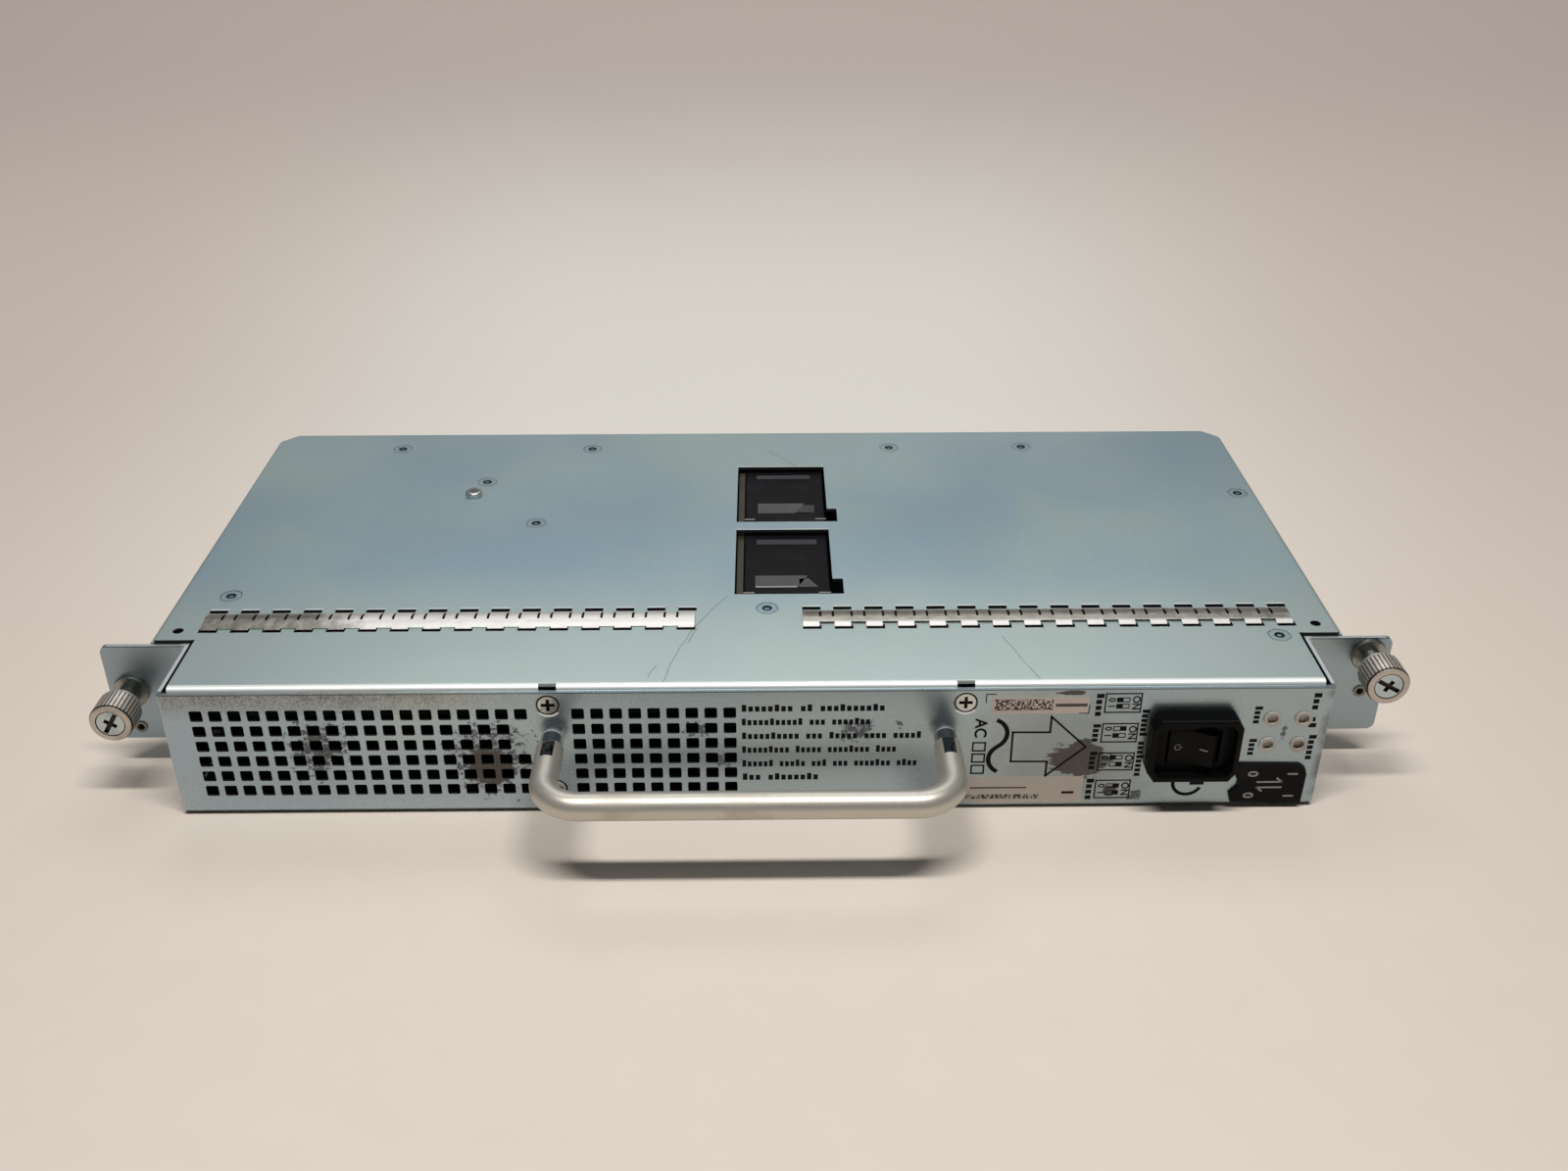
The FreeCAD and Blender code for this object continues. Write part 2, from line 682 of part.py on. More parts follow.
for side in (1, -1):
    block(flats, side * POST - 3, -dim.collar_length - 7.6, side * POST + 3, -dim.collar_length + 1)
cut(handle, flats, 1.38)
bores = upright(handle, -dim.collar_length)
for side in (1, -1):
    disc(bores, side * POST, dim.handle_rise, 4.1)
cut(handle, bores, 9.2, back=True)

collars = body("handle_collars")
rings = upright(collars, -0.02)
for side in (1, -1):
    disc(rings, side * POST, dim.handle_rise, dim.collar)
    disc(rings, side * POST, dim.handle_rise, 4.1)
pad(collars, rings, dim.collar_length - 0.04)

handle_screws = body("handle_screws")
heads = upright(handle_screws, dim.steel + 0.02)
for side in (1, -1):
    disc(heads, side * POST, dim.handle_rise, 7.0)
pad(handle_screws, heads, 2.6, back=True)
shanks = upright(handle_screws, dim.steel + 0.1)
for side in (1, -1):
    disc(shanks, side * POST, dim.handle_rise, 4.0)
pad(handle_screws, shanks, 14.0)

# Guide bushes in the ears
bushes = body("ear_bushes")
rims = upright(bushes, EAR_FRONT - 0.02)
sleeves = upright(bushes, EAR_FRONT - 0.1)
for side, level in ((-1, dim.screw_low), (1, dim.screw_high)):
    for item, outer in ((rims, 3.9), (sleeves, 2.9)):
        disc(item, side * SIDE, level - dim.bush_drop, outer)
        disc(item, side * SIDE, level - dim.bush_drop, 2.3)
pad(bushes, rims, 0.35)
pad(bushes, sleeves, 1.6, back=True)

# Captive thumbscrews: a ferrule in the ear, a knob with its screw, a spring on a cup inside
FERRULE = EAR_FRONT - 1.6
TUBE_END = EAR_FRONT - 10.4
for name, side, level in (("left", -1, dim.screw_low), ("right", 1, dim.screw_high)):
    ferrule = body("ferrule_" + name, side * SIDE, 0, level)
    turn(ferrule, [(TUBE_END, 2.75), (TUBE_END, 3.3), (FERRULE, 3.3), (FERRULE, 5.1), (FERRULE + 0.3, 5.4),
                   (EAR_FRONT - 0.02, 5.4), (EAR_FRONT - 0.02, 4.0), (EAR_BACK + 0.02, 4.0),
                   (EAR_BACK + 0.02, 4.6), (EAR_BACK + 0.6, 4.6), (EAR_BACK + 0.6, 1.65),
                   (EAR_FRONT + 0.3, 1.65), (EAR_FRONT + 0.3, 2.75)])
    screw = body("captive_screw_" + name, side * SIDE, 0, level)
    knob = dim.knob / 2
    turn(screw, [(dim.knob_face, 0), (dim.knob_face, knob - 0.6), (dim.knob_face + 0.6, knob),
                 (dim.knob_face + 9.3, knob), (dim.knob_face + 9.9, knob - 0.6), (dim.knob_face + 9.9, 3.4),
                 (dim.knob_face + 2.0, 3.4), (dim.knob_face + 2.0, 1.5), (EAR_BACK + 1.1, 1.5),
                 (EAR_BACK + 1.5, 1.95), (EAR_BACK + 4.8, 1.95), (EAR_BACK + 5.4, 1.4), (EAR_BACK + 5.4, 0)])
    groove = upright(screw, dim.knob_face)
    cross(groove, 0, 0, 4.6, 1.1)
    cut(screw, groove, 1.1)
    cup = body("spring_cup_" + name, side * SIDE, 0, level)
    turn(cup, [(dim.knob_face + 2.05, 1.6), (dim.knob_face + 2.05, 3.25), (dim.knob_face + 2.55, 3.25),
               (dim.knob_face + 2.55, 1.6)])
    path = doc.addObject("Part::Helix", "spring_path_" + name)
    bind(path, "Height", EAR_FRONT + 0.3 - dim.knob_face - 2.55 - 0.9)
    path.Pitch = 3.06
    path.Radius = 2.2
    path.SegmentLength = 1
    wire = doc.addObject("Part::Circle", "spring_wire_" + name)
    wire.Radius = 0.35
    wire.Placement = FreeCAD.Placement(V(2.2, 0, 0), FreeCAD.Rotation(V(1, 0, 0), 90))
    doc.recompute()
    coil = doc.addObject("Part::Sweep", "spring_" + name)
    coil.Sections = [wire]
    coil.Spine = (path, ["Edge%d" % number for number in range(1, len(path.Shape.Edges) + 1)])
    coil.Solid = True
    coil.Frenet = True
    coil.Placement = FreeCAD.Placement(V(0, 0, 0), FreeCAD.Rotation(V(1, 0, 0), -90))
    place(coil, "spring_" + name, side * SIDE, dim.knob_face + 2.55 + 0.45, level)

# Mains switch: guard frame in front of the panel, switch behind it, rocker on trunnions in the switch
guard = body("switch_guard", dim.guard_place, 0, dim.guard_rise)
frame = upright(guard, -0.02)
across, tall = dim.guard_width / 2, dim.guard_height / 2
outline(frame, [(2.2 - across, -tall), (across - 2.2, -tall), (across, 3.2 - tall), (across, tall - 3.2),
                (across - 2.2, tall), (2.2 - across, tall), (-across, tall - 3.2), (-across, 3.2 - tall)])
pad(guard, frame, dim.guard_proud - 0.02)
soften(guard, 0.9, y=-dim.guard_proud)
hollow = upright(guard, -dim.guard_proud)
inside, upward = across - 1.7, tall - 1.9
outline(hollow, [(1.6 - inside, -upward), (inside - 1.6, -upward), (inside, 2.4 - upward), (inside, upward - 2.4),
                 (inside - 1.6, upward), (1.6 - inside, upward), (-inside, upward - 2.4), (-inside, 2.4 - upward)])
cut(guard, hollow, 3.2)
through = upright(guard, -dim.guard_proud)
block(through, -9.7, -7.2, 9.7, 7.2)
cut(guard, through, dim.guard_proud)

PIVOT = 0.5
BEZEL = 3.2 - dim.guard_proud
switch = body("switch_body", dim.guard_place, 0, dim.guard_rise)
shell = upright(switch, BEZEL)
soft_block(shell, -9.6, -7.1, 9.6, 7.1, 0.5)
pad(switch, shell, 22.0, back=True)
well = upright(switch, BEZEL)
block(well, -7.95, -5.6, 7.95, 5.6)
cut(switch, well, 13.0)
pins = flat(switch, -8)
disc(pins, 0, PIVOT, 2.06)
cut(switch, pins, 16.0, back=True)
blades = upright(switch, 19.5)
for x in (-6.0, 0.0, 6.0):
    block(blades, x - 0.4, -3.0, x + 0.4, 3.0)
pad(switch, blades, 6.5, back=True)

TILT = 13.4
rocker = body("rocker", dim.guard_place, PIVOT, dim.guard_rise)
rocker.Placement = FreeCAD.Placement(V(0, 0, 0), FreeCAD.Rotation(V(0, 0, 1), -TILT))
SWING = 7.6
rim = [math.radians(a) for a in (33.6, 25.0, 17.0, 8.5, 0.0)]
right_end = [(SWING * math.cos(a), -SWING * math.sin(a)) for a in rim]
left_end = [(-x, y) for x, y in reversed(right_end)]
rocker_shape = flat(rocker, -5.45)
outline(rocker_shape, [(0, -2.7)] + right_end + [(7.55, 1.2), (2.5, 3.5), (-2.5, 3.5), (-7.55, 1.2)] + left_end)
pad(rocker, rocker_shape, 10.9)
trunnions = flat(rocker, -6.7)
disc(trunnions, 0, 0, 2.0)
pad(rocker, trunnions, 13.4)

# Setting switch behind its cover plate, with two sliders
plate = body("dip_cover")
shape = upright(plate, -0.02)
outline(shape, [(144.0, 2.0), (165.2, 1.6), (165.4, 12.2), (164.7, 14.3), (163.0, 15.5), (144.6, 15.8),
                (144.3, 11.6), (145.4, 9.6), (145.4, 7.6), (143.2, 5.0)])
pad(plate, shape, 0.9)
setting = body("dip_switch")
shape = upright(setting, 0.2)
block(shape, 149.2, 4.7, 161.0, 12.7)
pad(setting, shape, 9.2, back=True)
channels = upright(setting, 0.2)
SLIDER_LEVELS = [("low", 6.8), ("high", 10.6)]
for name, level in SLIDER_LEVELS:
    block(channels, 152.4, level - 1.0, 157.8, level + 1.0)
cut(setting, channels, 1.7)
for name, level in SLIDER_LEVELS:
    slider = body("dip_slider_" + name)
    shape = upright(slider, 0.1)
    block(shape, 152.5, level - 0.95, 154.7, level + 0.95)
    pad(slider, shape, 1.6, back=True)

# Lamp board with lamps and the lenses in front of them
lamp_board = body("front_board")
shape = upright(lamp_board, 9.5)
block(shape, 146.0, 3.0, 166.0, 37.0)
pad(lamp_board, shape, dim.board, back=True)
LAMPS = [(dim.lamp_left + a * dim.lamp_pitch, dim.lamp_low + b * dim.lamp_pitch) for a in (0, 1) for b in (0, 1)]
lenses = body("light_pipes")
rims = upright(lenses, -0.02)
stems = upright(lenses, -0.1)
dishes = upright(lenses, -0.52)
for x, z in LAMPS:
    disc(rims, x, z, 5.1)
    disc(stems, x, z, 3.6)
    disc(dishes, x, z, 3.2)
pad(lenses, rims, 0.5)
pad(lenses, stems, 6.1, back=True)
cut(lenses, dishes, 1.3)
lamps = body("leds")
shape = upright(lamps, 6.2)
for x, z in LAMPS:
    disc(shape, x, z, 3.0)
pad(lamps, shape, 3.25, back=True)

# Main board, notched for the fans, on an insulation sheet's distance above the cover
board = body("main_board")
plan = flat(board, dim.board_low)
reach = dim.fan / 2 + 1.5
BOARD_REAR, FAN_FRONT = 168.0, REAR - dim.steel - dim.fan_depth - 2
outline(plan, [(-176.5, 32.0), (140.0, 32.0), (140.0, 20.0), (164.0, 20.0), (164.0, 32.0), (176.5, 32.0),
               (176.5, BOARD_REAR), (dim.fan_right + reach, BOARD_REAR), (dim.fan_right + reach, FAN_FRONT),
               (dim.fan_right - reach, FAN_FRONT), (dim.fan_right - reach, BOARD_REAR),
               (dim.fan_left + reach, BOARD_REAR), (dim.fan_left + reach, FAN_FRONT),
               (dim.fan_left - reach, FAN_FRONT), (dim.fan_left - reach, BOARD_REAR), (-176.5, BOARD_REAR)])
pad(board, plan, dim.board)
holes = flat(board, BOARD_TOP + 1)
for x, y in STANDOFFS:
    disc(holes, x, y, 2.7)
cut(board, holes, 5.0)
bricks("insulation_sheet", [(-172.0, 30.0, 172.0, 170.0)], dim.cover + dim.gap, dim.cover + dim.gap + 0.4)

# Input relays under the windows, with an amber barrier sheet beside them
for name, front in (("front", dim.window_front + 4.5), ("rear", dim.window_front + dim.window_step + 4.5)):
    relay = bricks("input_relay_" + name, [(-2.0, front, 26.0, front + 40.0)], SEAT, dim.relay_top)
    soften(relay, 0.7, z=dim.relay_top)
bricks("fibre_barrier", [(-4.3, 50.0, -2.2, 150.0)], SEAT, dim.relay_top - 0.3)

# Power train on the main board
drums("bulk_capacitors", [(62.0, 70.0), (62.0, 104.0), (96.0, 70.0), (96.0, 104.0)], 30.0, SEAT, 40.0, edge=1.5)
drums("pfc_choke", [(146.0, 72.0)], 40.0, SEAT, 30.0, bore=17.0, edge=3.0)
drums("emi_chokes", [(124.0, 130.0), (154.0, 130.0)], 27.0, SEAT, 26.0, bore=11.0, edge=2.5)
bricks("film_capacitors", [(56.0, 128.0, 84.0, 139.0), (56.0, 143.0, 84.0, 154.0)], SEAT, 30.0)
drums("output_inductor", [(-33.0, 78.0)], 38.0, SEAT, 28.0, bore=15.0, edge=3.0)
drums("output_capacitors", [(x, y) for x in (-134.0, -116.0) for y in (58.0, 75.0, 92.0)], 14.0, SEAT, 34.0,
      edge=0.8)
bricks("control_board", [(-56.0, 118.0, -10.0, 119.6)], SEAT, 36.0)
bricks("power_transistors", [(x - 7.5, 101.2, x + 7.5, 105.7) for x in (-116.0, -99.5)], 10.0, 30.0)
bricks("output_busbars", [(-160.0, 133.0, -157.0, 157.5), (-151.0, 133.0, -148.0, 157.5)], SEAT, 24.0)

CORE_X, CORE_Y, CORE_LOW = -78.0, 76.0, SEAT
core = body("transformer_core", CORE_X, CORE_Y, CORE_LOW)
shape = upright(core, -10.0)
block(shape, -21.0, 0, 21.0, 31.0)
block(shape, -15.0, 5.0, -6.0, 26.0)
block(shape, 6.0, 5.0, 15.0, 26.0)
pad(core, shape, 20.0, back=True)
winding = body("transformer_winding", CORE_X, CORE_Y, CORE_LOW)
shape = flat(winding, 5.3)
soft_block(shape, -14.0, -17.0, 14.0, 17.0, 4.0)
block(shape, -6.3, -10.3, 6.3, 10.3)
pad(winding, shape, 20.4)

cooler = bricks("primary_heatsink", [(-125.0, 106.0, -82.0, 129.0)], SEAT, UNDER - dim.gap)
channel = upright(cooler, 105.0)
block(channel, -121.5, 7.0, -118.0, 35.0)
first = cut(cooler, channel, 26.0)
repeat(cooler, first, channel, "H_Axis", 35.0, 6)
thread = flat(cooler, dim.height)
disc(thread, *TOP_SCREW, 3.0)
cut(cooler, thread, 9.0)
sink = bricks("rectifier_heatsink", [(-172.0, 60.0, -146.0, 130.0)], SEAT, 38.0)
channel = sideways(sink, -145.0)
block(channel, 64.0, 14.0, 67.4, 40.0)
first = cut(sink, channel, 30.0)
repeat(sink, first, channel, "H_Axis", 58.5, 10)

# Rear connectors: input on the right, output on the left
PLUG_REAR = dim.depth + dim.plug_nose
for name, left, right, first_slot, slot, count, run in (("input", 113.0, 171.0, 117.0, 5.0, 6, 45.0),
                                                        ("output", -170.0, -140.0, -166.0, 8.0, 2, 14.0)):
    plug = bricks(name + "_connector", [(left, 158.2, right, PLUG_REAR)], SEAT, 26.0)
    socket = upright(plug, PLUG_REAR)
    block(socket, first_slot, 11.0, first_slot + slot, 23.0)
    opening = cut(plug, socket, 13.0, back=True)
    repeat(plug, opening, socket, "H_Axis", run, count)
    contact = body("input_contacts" if name == "input" else "output_blades")
    shape = upright(contact, PLUG_REAR - 12.98)
    block(shape, first_slot + slot / 2 - 0.6, 13.0, first_slot + slot / 2 + 0.6, 21.0)
    blade = pad(contact, shape, 10.5, back=True)
    repeat(contact, blade, shape, "H_Axis", run, count)

# Exhaust fans behind the rear panel's vents
FAN_REAR = REAR - dim.steel - 0.1
for name, fan_x in FAN_PLACES:
    housing = body("fan_frame_" + name, fan_x, FAN_REAR, dim.fan_rise)
    half = dim.fan / 2
    shape = upright(housing, -dim.fan_depth)
    soft_block(shape, -half, -half, half, half, 2.5)
    disc(shape, 0, 0, dim.fan - 2.5)
    pad(housing, shape, dim.fan_depth, back=True)
    struts = upright(housing, 0)
    cross(struts, 0, 0, dim.fan.value - 2.2, 2.0)
    pad(housing, struts, 2.0)
    seat = upright(housing, 0)
    disc(seat, 0, 0, 16.0)
    pad(housing, seat, 3.0)
    post = upright(housing, 0)
    disc(post, 0, 0, 6.0)
    pad(housing, post, 11.0)
    bore = upright(housing, -12.0)
    disc(bore, 0, 0, 2.06)
    cut(housing, bore, 11.0)
    screws = upright(housing, 1)
    for x in (-16.0, 16.0):
        for z in (-16.0, 16.0):
            disc(screws, x, z, 3.6)
    cut(housing, screws, dim.fan_depth + 2, back=True)
    rotor = body("fan_rotor_" + name, fan_x, FAN_REAR, dim.fan_rise)
    turn(rotor, [(-18.0, 0), (-18.0, 9.0), (-17.0, 10.0), (-4.5, 10.0), (-4.5, 9.0), (-15.5, 9.0),
                 (-15.5, 1.0), (-2.0, 1.0), (-2.0, 0)])
    vane = flat(rotor, 9.6)
    outline(vane, [(-4.4, -16.0), (-3.2, -16.0), (4.4, -6.0), (3.2, -6.0)])
    blade = pad(rotor, vane, 7.8)
    fan_blades = rotor.newObject("PartDesign::PolarPattern", "Blades")
    fan_blades.Originals = [blade]
    fan_blades.Axis = (origin(rotor, "Y_Axis"), [""])
    fan_blades.Angle = 360
    fan_blades.Occurrences = 7
    rotor.Tip = fan_blades

doc.recompute()
for item in doc.Objects:
    if "Invalid" in item.State or "Error" in item.State:
        raise RuntimeError("%s did not compute" % item.Label)
for item in subparts:
    if item.Shape.isNull() or not item.Shape.isValid():
        raise RuntimeError("%s has no valid shape" % item.Label)
os.makedirs("parts", exist_ok=True)
for item in subparts:
    item.Shape.exportStep("parts/%s.step" % item.Label)
print(len(subparts), "sub-parts written")
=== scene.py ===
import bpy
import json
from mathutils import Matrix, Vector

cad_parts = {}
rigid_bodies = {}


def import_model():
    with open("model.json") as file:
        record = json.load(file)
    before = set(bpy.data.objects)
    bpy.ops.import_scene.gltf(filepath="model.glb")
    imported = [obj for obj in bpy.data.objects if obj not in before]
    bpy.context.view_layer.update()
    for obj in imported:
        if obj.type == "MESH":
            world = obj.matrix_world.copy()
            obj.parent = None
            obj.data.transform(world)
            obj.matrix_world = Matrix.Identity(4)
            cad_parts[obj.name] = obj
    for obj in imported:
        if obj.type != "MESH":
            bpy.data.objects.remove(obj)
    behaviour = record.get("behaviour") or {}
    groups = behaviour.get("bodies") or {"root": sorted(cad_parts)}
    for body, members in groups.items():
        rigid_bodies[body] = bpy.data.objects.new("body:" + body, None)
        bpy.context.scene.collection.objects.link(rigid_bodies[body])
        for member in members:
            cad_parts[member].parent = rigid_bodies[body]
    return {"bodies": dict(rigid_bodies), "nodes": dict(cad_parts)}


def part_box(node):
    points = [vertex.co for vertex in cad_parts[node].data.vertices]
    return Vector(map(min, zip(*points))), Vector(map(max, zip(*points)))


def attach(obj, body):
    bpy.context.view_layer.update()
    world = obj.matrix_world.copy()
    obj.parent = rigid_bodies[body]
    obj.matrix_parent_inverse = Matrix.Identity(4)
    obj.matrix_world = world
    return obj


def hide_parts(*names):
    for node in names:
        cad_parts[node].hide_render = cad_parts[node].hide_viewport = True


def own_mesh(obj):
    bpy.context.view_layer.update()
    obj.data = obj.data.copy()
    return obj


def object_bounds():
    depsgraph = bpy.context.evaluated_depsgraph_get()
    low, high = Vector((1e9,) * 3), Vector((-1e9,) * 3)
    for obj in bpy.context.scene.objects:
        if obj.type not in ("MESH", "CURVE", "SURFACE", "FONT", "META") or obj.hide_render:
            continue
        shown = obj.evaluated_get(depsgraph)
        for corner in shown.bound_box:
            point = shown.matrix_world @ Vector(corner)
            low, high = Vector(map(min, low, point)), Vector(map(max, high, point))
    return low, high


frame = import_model()
solid_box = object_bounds()

# %% [markdown]
# # A power supply module for a router
# The module is a shallow box of zinc-plated steel that slides into a bay. A bar handle pulls it out,
# thumbscrews on two ears hold it in, and bright spring fingers on top touch the bay so that no radio
# noise leaks out. The solids come measured from the CAD model, so this lesson only dresses them: it
# gives every surface a finish, and replaces the few pieces whose fine shape the solids leave out.
#
# Sizes below are in millimetres from the module's middle, the face of its front panel and the table,
# which are easy to find with a ruler. One helper turns them into metres.

# %% A ruler on the module
import json
import math

import bmesh
import bpy
from mathutils import Matrix, Vector

MM = 0.001
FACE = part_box("front_panel")[0].y


def at(x, y, z):
    """A point x right of the middle, y behind the panel's face and z above the table."""
    return Vector((x * MM, FACE + y * MM, z * MM))


wide, deep, tall = ((high - low) / MM for low, high in zip(*solid_box))
print("module %.1f x %.1f x %.1f mm, panel face at y = %.2f mm" % (wide, deep, tall, FACE / MM))

# %% [markdown]
# ## The camera
# The picture was taken by someone leaning over a table: the camera is half an arm's length in front of
# the panel and looks down by thirty degrees. Place and lens come from fitting the module's corners, so
# the view can be compared with the real thing corner by corner.

# %% Set up the camera
def show(name, data):
    """Puts a new object into the scene."""
    made = bpy.data.objects.new(name, data)
    bpy.context.scene.collection.objects.link(made)
    return made


camera = show("camera", bpy.data.cameras.new("camera"))
bpy.context.scene.camera = camera
camera.data.sensor_fit = "HORIZONTAL"
camera.data.sensor_width = 36
camera.data.lens = 35.2
camera.data.clip_start = 0.01
camera.location = at(5.46, -365.58, 287.95)
camera.rotation_euler = (math.radians(60.07), 0, math.radians(-0.74))
print("camera %.0f mm above the table" % (camera.location.z / MM))

# %% [markdown]
# ## Paper sweep
# The module lies on pale paper that curves up behind it, so there is no horizon line. An edge is drawn
# along the front, pulled back and spun through most of a quarter turn, which gives the whole sweep in
# two operators.

# %% Roll out the paper
PAPER_HALF, PAPER_FRONT, PAPER_LOW = 2.5, -1.0, -0.0003
BEND, BEND_RADIUS, BEND_TURN = 0.24, 0.4, 66


def outward(bm):
    """Makes all faces look outwards."""
    bmesh.ops.recalc_face_normals(bm, faces=bm.faces[:])


def pull(bm, edges, step):
    """Extrudes a row of edges by a step and returns the new row."""
    made = bmesh.ops.extrude_edge_only(bm, edges=edges)["geom"]
    bmesh.ops.translate(bm, verts=[v for v in made if isinstance(v, bmesh.types.BMVert)], vec=step)
    return [e for e in made if isinstance(e, bmesh.types.BMEdge)]


bm = bmesh.new()
ends = [bm.verts.new((x, PAPER_FRONT, PAPER_LOW)) for x in (-PAPER_HALF, PAPER_HALF)]
row = pull(bm, [bm.edges.new(ends)], (0, BEND - PAPER_FRONT, 0))
bmesh.ops.spin(bm, geom=[*row, *row[0].verts], cent=(0, BEND, BEND_RADIUS), axis=(1, 0, 0),
               angle=math.radians(BEND_TURN), steps=24)
outward(bm)
for face in bm.faces:
    face.smooth = True
paper = show("paper", bpy.data.meshes.new("paper"))
bm.to_mesh(paper.data)
bm.free()
print("paper faces:", len(paper.data.polygons))

# %% [markdown]
# ## Light
# One long lamp overhead, like a ceiling tube, gives a shadow under the handle that is crisp along the
# bar and soft at its ends. Bare metal shows what stands behind it rather than what lights it, so a
# second lamp, wide and cool like a window, hangs behind the sweep for the plating to mirror. The camera
# and the metal see a dim room beyond the paper, but little of it reaches the shadows, which stay deep.

# %% Hang the lamps and fill the room
ROOM_FILL, ROOM_SEEN = 0.02, 0.16
scene = bpy.context.scene
scene.view_settings.view_transform = "Standard"
scene.world = bpy.data.worlds.new("room")
scene.world.use_nodes = True
nodes = scene.world.node_tree.nodes
room = nodes["Background"]
room.inputs["Color"].default_value = (0.86, 0.93, 1.0, 1)
level = nodes.new("ShaderNodeMapRange")
level.inputs["To Min"].default_value = ROOM_FILL
level.inputs["To Max"].default_value = ROOM_SEEN
seen = nodes.new("ShaderNodeMath")
seen.operation = "MAXIMUM"
rays = nodes.new("ShaderNodeLightPath")
join = scene.world.node_tree.links.new
join(rays.outputs["Is Camera Ray"], seen.inputs[0])
join(rays.outputs["Is Glossy Ray"], seen.inputs[1])
join(seen.outputs[0], level.inputs["Value"])
join(level.outputs[0], room.inputs["Strength"])


def hang(name, size, watts, color, place, tilt):
    """Hangs a soft rectangular lamp, tilted about the module's long side."""
    lamp = show(name, bpy.data.lights.new(name, "AREA"))
    lamp.data.shape = "RECTANGLE"
    lamp.data.size, lamp.data.size_y = size
    lamp.data.energy = watts
    lamp.data.color = color
    lamp.location = place
    lamp.rotation_euler = (math.radians(tilt), 0, 0)
    print(name, watts, "W at", place[2], "m")


hang("ceiling_tube", (1.1, 0.11), 19.6, (1.0, 0.975, 0.94), (0.02, -0.37, 1.5), 6)
hang("window", (1.15, 0.6), 4.2, (0.95, 0.99, 1.0), (0.0, 0.82, 1.24), -37)

# %% [markdown]
# ## Shader sums that read like sums
# A finish is a small sum of noises and masks. Wiring Math nodes by hand hides that sum, so a thin
# wrapper around a socket lets Python's own signs add the nodes.

# %% A wire that does sums
def maths(operation):
    """A sign's method, which feeds two values to a Math node."""
    return lambda self, other: self.sum(operation, self, other)


class Wire:
    """One output in a finish's node tree."""

    def __init__(self, finish, socket):
        self.finish, self.socket = finish, socket

    def sum(self, operation, *values):
        return self.finish.node("Math", dict(enumerate(values)), operation=operation)

    def __rsub__(self, other):
        return self.sum("SUBTRACT", other, self)

    def __abs__(self):
        return self.sum("ABSOLUTE", self)

    __add__ = __radd__ = maths("ADD")
    __sub__ = maths("SUBTRACT")
    __mul__ = __rmul__ = maths("MULTIPLY")
    __truediv__ = maths("DIVIDE")
    __pow__ = maths("POWER")
    __gt__ = maths("GREATER_THAN")
    __lt__ = maths("LESS_THAN")


print("a wire knows + - * / ** < > and abs")

# %% [markdown]
# ## One class for every finish
# A material is a tree of nodes that ends in one shader. The class starts that tree and reads every
# pattern from the object's own coordinates, so a finish stays on its piece when the piece moves. Each
# kind of node has a short method, and colours are written as they are read off a screen.

# %% A finish in the making
def tint(*channels):
    """A colour as read off a screen, from 0 to 255, in the linear numbers that shaders use."""
    linear = [((c / 255 + 0.055) / 1.055) ** 2.4 if c > 10 else c / 255 / 12.92 for c in channels]
    return [*linear, 1]


class Finish:
    """A material in the making: its shader, and one method for every other node."""

    def __init__(self, name, **constants):
        self.material = bpy.data.materials.new(name)
        self.material.use_nodes = True
        self.tree = self.material.node_tree
        self.shader = self.tree.nodes["Principled BSDF"]
        self.feed(**constants)
        self.place = self.node("TexCoord", out="Object")

    def node(self, kind, sockets=None, out=0, **settings):
        made = self.tree.nodes.new("ShaderNode" + kind)
        for key, value in settings.items():
            setattr(made, key, value)
        for key, value in (sockets or {}).items():
            self.join(made.inputs[key], value)
        return Wire(self, made.outputs[out])

    def join(self, socket, value):
        if isinstance(value, Wire):
            self.tree.links.new(value.socket, socket)
        else:
            socket.default_value = value

    def feed(self, **values):
        """Sets or wires the shader's inputs, with their names in small letters."""
        for name, value in values.items():
            title = name.replace("_", " ").title().replace("Ior", "IOR")
            self.join(self.shader.inputs[title], value)

    def fed(self, title):
        """What is wired to one of the shader's inputs."""
        return Wire(self, self.shader.inputs[title].links[0].from_socket)

    def noise(self, scale, detail=3.0, rough=0.5, vector=None, warp=0.0):
        return self.node("TexNoise", {
            "Vector": vector or self.place, "Scale": scale, "Detail": detail, "Roughness": rough,
            "Distortion": warp})

    def step(self, value, low, high):
        """Rises smoothly from 0 at low to 1 at high."""
        return self.node("MapRange", {"Value": value, "From Min": low, "From Max": high},
                         interpolation_type="SMOOTHSTEP")

    def stretch(self, x, y, z):
        return self.node("Mapping", {"Vector": self.place, "Scale": (x, y, z)})

    def mix(self, mask, *ends):
        """Goes from one colour to another; each is three screen numbers or a wire."""
        below, above = (tint(*end) if isinstance(end, tuple) else end for end in ends)
        return self.node("Mix", {0: mask, 6: below, 7: above}, out=2, data_type="RGBA")

    def axes(self):
        parts = self.node("SeparateXYZ", {0: self.place})
        return [Wire(self, parts.socket.node.outputs[axis]) for axis in "XYZ"]

    def bump(self, height, depth, strength):
        self.feed(normal=self.node("Bump", {
            "Strength": strength, "Distance": depth, "Height": height}))


print("a finish makes noises, steps, mixes and bumps")
